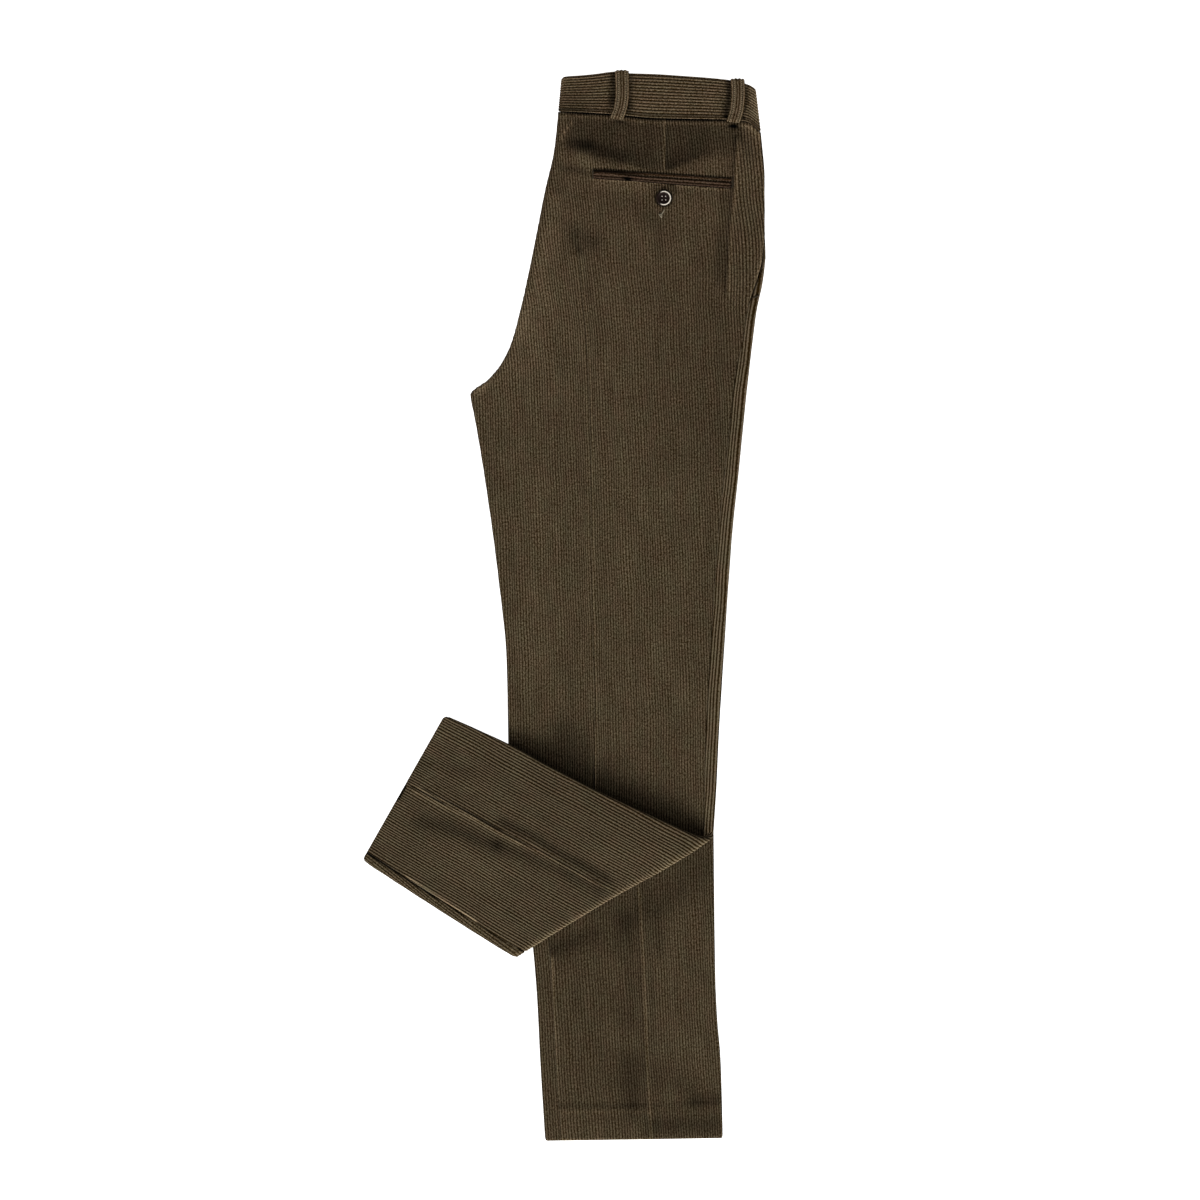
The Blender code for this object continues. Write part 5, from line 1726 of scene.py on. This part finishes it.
class TrousersClothSettings(bpy.types.PropertyGroup):
    """Colours and relief of the corduroy."""
    wale_relief: bpy.props.FloatProperty(
        name="Wale relief", description="How far the grooves lie below the wales",
        default=0.00055, min=0.0, max=0.001, precision=5, unit="LENGTH")
    crease_rise: bpy.props.FloatProperty(
        name="Crease rise", description="Height of the pressed creases",
        default=0.0009, min=0.0, max=0.003, precision=5, unit="LENGTH")
    wale_colour: bpy.props.FloatVectorProperty(
        name="Wale colour", description="Pile on top of the wales",
        default=(0.159, 0.132, 0.094), min=0.0, max=1.0, size=3, subtype="COLOR")
    groove_colour: bpy.props.FloatVectorProperty(
        name="Groove colour", description="Ground of the cloth between the wales",
        default=(0.021, 0.0122, 0.0020), min=0.0, max=1.0, size=3, subtype="COLOR")
    warm_tint: bpy.props.FloatVectorProperty(
        name="Warm tint", description="Tint of the patches where the nap lies up the leg",
        default=(1.0, 0.845, 0.75), min=0.0, max=1.0, size=3, subtype="COLOR")
    olive_tint: bpy.props.FloatVectorProperty(
        name="Olive tint", description="Tint of the patches where the nap lies down the leg",
        default=(0.99, 0.968, 0.83), min=0.0, max=1.0, size=3, subtype="COLOR")
    sheen: bpy.props.FloatProperty(
        name="Sheen", description="Strength of the pile's sheen",
        default=0.03, min=0.0, max=1.0, subtype="FACTOR")
    sheen_tint: bpy.props.FloatVectorProperty(
        name="Sheen tint", description="Colour of the pile's sheen",
        default=(0.60, 0.47, 0.29), min=0.0, max=1.0, size=3, subtype="COLOR")
    pile_bump: bpy.props.FloatProperty(
        name="Pile bump", description="Strength of the tufts' fine relief",
        default=0.8, min=0.0, max=1.0, subtype="FACTOR")


class TrousersSewingSettings(bpy.types.PropertyGroup):
    """Button and threads."""
    button_diameter: bpy.props.FloatProperty(
        name="Button diameter", description="Diameter of the back pocket's button",
        default=0.015, min=0.01, max=0.02, precision=4, unit="LENGTH")
    button_dark: bpy.props.FloatVectorProperty(
        name="Button, dark", description="Darker colour of the button",
        default=(0.010, 0.0055, 0.0042), min=0.0, max=1.0, size=3, subtype="COLOR")
    button_light: bpy.props.FloatVectorProperty(
        name="Button, light", description="Lighter veins of the button",
        default=(0.018, 0.009, 0.007), min=0.0, max=1.0, size=3, subtype="COLOR")
    # Painted highlight on the button's rim
    button_rim_highlight: bpy.props.FloatVectorProperty(
        name="Button rim", description="Pale rim of the button",
        default=(0.90, 0.83, 0.70), min=0.0, max=1.0, size=3, subtype="COLOR")
    thread_colour: bpy.props.FloatVectorProperty(
        name="Thread", description="Sewing thread of the seams and bar tacks",
        default=(0.048, 0.035, 0.020), min=0.0, max=1.0, size=3, subtype="COLOR")
    loop_thread_colour: bpy.props.FloatVectorProperty(
        name="Loop thread", description="Sewing thread of the belt loops",
        default=(0.36, 0.28, 0.17), min=0.0, max=1.0, size=3, subtype="COLOR")
    button_thread_colour: bpy.props.FloatVectorProperty(
        name="Button thread", description="Thread in the button's holes",
        default=(0.58, 0.52, 0.45), min=0.0, max=1.0, size=3, subtype="COLOR")
    loose_thread_colour: bpy.props.FloatVectorProperty(
        name="Tick thread", description="Pale thread tick below the button",
        default=(0.36, 0.31, 0.22), min=0.0, max=1.0, size=3, subtype="COLOR")


class TrousersStudioSettings(bpy.types.PropertyGroup):
    """Floor, lights and camera."""
    floor_colour: bpy.props.FloatVectorProperty(
        name="Floor colour", description="Pale floor under the garment",
        default=(0.93, 0.93, 0.93), min=0.0, max=1.0, size=3, subtype="COLOR")
    floor_glow: bpy.props.FloatProperty(
        name="Floor glow", description="Light of the floor itself, as on a lit table",
        default=1.1, min=0.0, max=2.0)
    left_power: bpy.props.FloatProperty(
        name="Left light", description="Power of the low light from the lower left, in watts",
        default=680.0, min=0.0, max=5000.0)
    right_power: bpy.props.FloatProperty(
        name="Right light", description="Power of the low light from the lower right, in watts",
        default=560.0, min=0.0, max=5000.0)
    fill_power: bpy.props.FloatProperty(
        name="Fill light", description="Power of the large light above, in watts",
        default=11.0, min=0.0, max=500.0)
    room_light: bpy.props.FloatProperty(
        name="Room light", description="Strength of the even light all round",
        default=0.22, min=0.0, max=3.0)
    camera_height: bpy.props.FloatProperty(
        name="Camera height", description="Height of the camera straight above the garment",
        default=8.0, min=1.0, max=20.0, unit="LENGTH")


# Operators

class TROUSERS_OT_back_right(bpy.types.Operator):
    """Make the right back panel: the upper leg's top and the underside of its turned end"""
    bl_idname = "trousers.back_right"
    bl_label = "Right back panel"

    def execute(self, context):
        in_corduroy(make_back_right(), "back_panel_right", corduroy("corduroy_right_back"))
        return {"FINISHED"}


class TROUSERS_OT_front_right(bpy.types.Operator):
    """Make the right front panel: the strip at the side seam, the roll and the turned end"""
    bl_idname = "trousers.front_right"
    bl_label = "Right front panel"

    def execute(self, context):
        cloth_piece(make_front_right(), "front_panel_right", corduroy("corduroy_right_front", 1.9))
        return {"FINISHED"}


class TROUSERS_OT_front_left(bpy.types.Operator):
    """Make the left front panel: the top of the lower leg below the fold"""
    bl_idname = "trousers.front_left"
    bl_label = "Left front panel"

    def execute(self, context):
        cloth_piece(make_front_left(), "front_panel_left", corduroy("corduroy_left_front", 0.65))
        return {"FINISHED"}


class TROUSERS_OT_back_left(bpy.types.Operator):
    """Make the left back panel: the underside, which lies on the table"""
    bl_idname = "trousers.back_left"
    bl_label = "Left back panel"

    def execute(self, context):
        cloth_piece(make_back_left(), "back_panel_left", corduroy("corduroy_left_back"))
        return {"FINISHED"}


class TROUSERS_OT_inner_layers(bpy.types.Operator):
    """Dress the hidden layers between the legs"""
    bl_idname = "trousers.inner_layers"
    bl_label = "Inner layers"

    def execute(self, context):
        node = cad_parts["inner_layers"]
        node.data.materials.clear()
        node.data.materials.append(inner_cloth("corduroy_inside"))
        return {"FINISHED"}


class TROUSERS_OT_waistband(bpy.types.Operator):
    """Make both halves of the waistband"""
    bl_idname = "trousers.waistband"
    bl_label = "Waistband"

    def execute(self, context):
        material = corduroy("corduroy_waistband", 0.85)
        for side, mirrored in (("right", False), ("left", True)):
            band = make_band(f"{side}_waistband", mirrored)
            cloth_piece(band, f"waistband_{side}", material)
        return {"FINISHED"}


class TROUSERS_OT_belt_loops(bpy.types.Operator):
    """Make the belt loops with their two rows of stitches"""
    bl_idname = "trousers.belt_loops"
    bl_label = "Belt loops"

    def execute(self, context):
        sewing = context.scene.trousers_sewing
        material = corduroy("corduroy_loops", 0.9)
        stitching = thread("thread_loops", sewing.loop_thread_colour)
        for side, mirrored in (("right", False), ("left", True)):
            for loop in LOOPS:
                piece = make_loop(f"{loop.name}_{side}_sewn", loop, mirrored)
                cloth_piece(piece, f"{loop.name}_{side}", material)
                sewn(thread_object(f"{loop.name}_{side}_stitches", loop_stitches(loop, mirrored)),
                     stitching)
        return {"FINISHED"}


class TROUSERS_OT_back_pocket(bpy.types.Operator):
    """Make the back pocket's two welts, on the right back panel, and the bar tacks at its ends"""
    bl_idname = "trousers.back_pocket"
    bl_label = "Back pocket"

    def execute(self, context):
        sewing = context.scene.trousers_sewing
        material = corduroy("corduroy_welts", 0.8, (1.0, 0.86, 0.92))
        for name, *lip_shape in (
                ("upper", 0.0, UPPER_LIP, 0.0, 0.0, upper_lip_tone),
                ("lower", UPPER_LIP + SLIT, LOWER_LIP, 0.8, 1.1, lower_lip_tone)):
            lip = make_lip(f"back_pocket_welt_{name}", *lip_shape)
            in_corduroy(lip, f"pocket_welt_{name}", material)
        stretches = []
        height = UPPER_LIP + SLIT + LOWER_LIP

        def on_lips(x, down):
            return hip_height(x, down) + LIP_GAP + LIP_THICKNESS - 0.2

        for x in (POCKET_LEFT - 0.2, POCKET_RIGHT + 0.2):
            middle = (x, pocket_row(x) + height / 2.0)
            stretches += bar_tack(middle, (0.0, 1.0), height, on_lips, 14)
        sewn(thread_object("back_pocket_bar_tacks", stretches),
             thread("thread_bar_tacks", sewing.thread_colour))
        return {"FINISHED"}


class TROUSERS_OT_side_pocket(bpy.types.Operator):
    """Make the bar tack at the foot of the slanted front pocket"""
    bl_idname = "trousers.side_pocket"
    bl_label = "Front pocket bar tack"

    def execute(self, context):
        sewing = context.scene.trousers_sewing

        def on_top(x, down):
            return UPPER_TOP + 0.1

        stretches = bar_tack(FRONT_TACK, (1.0, -0.4), 7.0, on_top, 12)
        sewn(thread_object("front_pocket_bar_tack", stretches),
             thread("thread_front_pocket", sewing.thread_colour))
        return {"FINISHED"}


class TROUSERS_OT_button(bpy.types.Operator):
    """Make the back pocket's button, the thread in its holes and the tick below it"""
    bl_idname = "trousers.button"
    bl_label = "Button"

    def execute(self, context):
        sewing = context.scene.trousers_sewing
        button = make_button()
        button.data.materials.append(horn("horn_button"))
        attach(button, BODY)
        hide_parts("pocket_button")
        base = float(hip_height(BUTTON_X, BUTTON_DOWN)) + LAID_ON_GAP + BUTTON_THICKNESS - 1.1
        stretches = []
        for turn in (45.0, 135.0, 225.0, 315.0):
            across, along = math.cos(math.radians(turn)), math.sin(math.radians(turn))
            ends = [place(BUTTON_X + reach * across, BUTTON_DOWN + reach * along,
                          base + rise).tolist() for reach, rise in ((2.0, -0.2), (3.0, 0.3))]
            stretches.append((*ends, BUTTON_THREAD * MM))
        sewn(thread_object("button_thread", stretches),
             thread("thread_button", sewing.button_thread_colour))
        ticks = []
        for stretch in LOOSE_TICK:
            ends = [place(x, down, float(hip_height(x, down)) + 0.15).tolist()
                    for x, down in stretch]
            ticks.append((*ends, LOOSE_THREAD * MM))
        sewn(thread_object("loose_thread_tick", ticks),
             thread("thread_tick", sewing.loose_thread_colour))
        return {"FINISHED"}


class TROUSERS_OT_studio(bpy.types.Operator):
    """Make the floor, the lights and the camera"""
    bl_idname = "trousers.studio"
    bl_label = "Studio"

    def execute(self, context):
        studio = context.scene.trousers_studio
        make_floor(studio)
        light_the_room(studio.room_light)
        area_light("left", studio.left_power, SIDE_LIGHT_SIZE, LEFT_LIGHT)
        area_light("right", studio.right_power, SIDE_LIGHT_SIZE, RIGHT_LIGHT)
        area_light("fill", studio.fill_power, FILL_LIGHT_SIZE, FILL_LIGHT)
        make_camera(studio.camera_height)
        context.scene.view_settings.view_transform = "Standard"
        return {"FINISHED"}


PIECES = [
    TROUSERS_OT_back_right, TROUSERS_OT_front_right, TROUSERS_OT_front_left,
    TROUSERS_OT_back_left, TROUSERS_OT_inner_layers, TROUSERS_OT_waistband,
    TROUSERS_OT_belt_loops, TROUSERS_OT_back_pocket, TROUSERS_OT_side_pocket,
    TROUSERS_OT_button, TROUSERS_OT_studio,
]


class TROUSERS_PT_panel(bpy.types.Panel):
    """Lists the pieces of the trousers"""
    bl_idname = "TROUSERS_PT_panel"
    bl_label = "Corduroy trousers"
    bl_space_type = "VIEW_3D"
    bl_region_type = "UI"
    bl_category = "Trousers"

    def draw(self, context):
        for settings in ("trousers_cloth", "trousers_sewing", "trousers_studio"):
            group = getattr(context.scene, settings)
            box = self.layout.box()
            for name in group.__annotations__:
                box.prop(group, name)
        for piece in PIECES:
            self.layout.operator(piece.bl_idname)


SETTINGS = {
    "trousers_cloth": TrousersClothSettings,
    "trousers_sewing": TrousersSewingSettings,
    "trousers_studio": TrousersStudioSettings,
}
CLASSES = [*SETTINGS.values(), *PIECES, TROUSERS_PT_panel]


def register():
    for made in CLASSES:
        bpy.utils.register_class(made)
    for name, group in SETTINGS.items():
        setattr(bpy.types.Scene, name, bpy.props.PointerProperty(type=group))


def unregister():
    for name in SETTINGS:
        delattr(bpy.types.Scene, name)
    for made in reversed(CLASSES):
        bpy.utils.unregister_class(made)


def main():
    register()
    for piece in PIECES:
        group, name = piece.bl_idname.split(".")
        getattr(getattr(bpy.ops, group), name)()


if __name__ == "__main__":
    main()
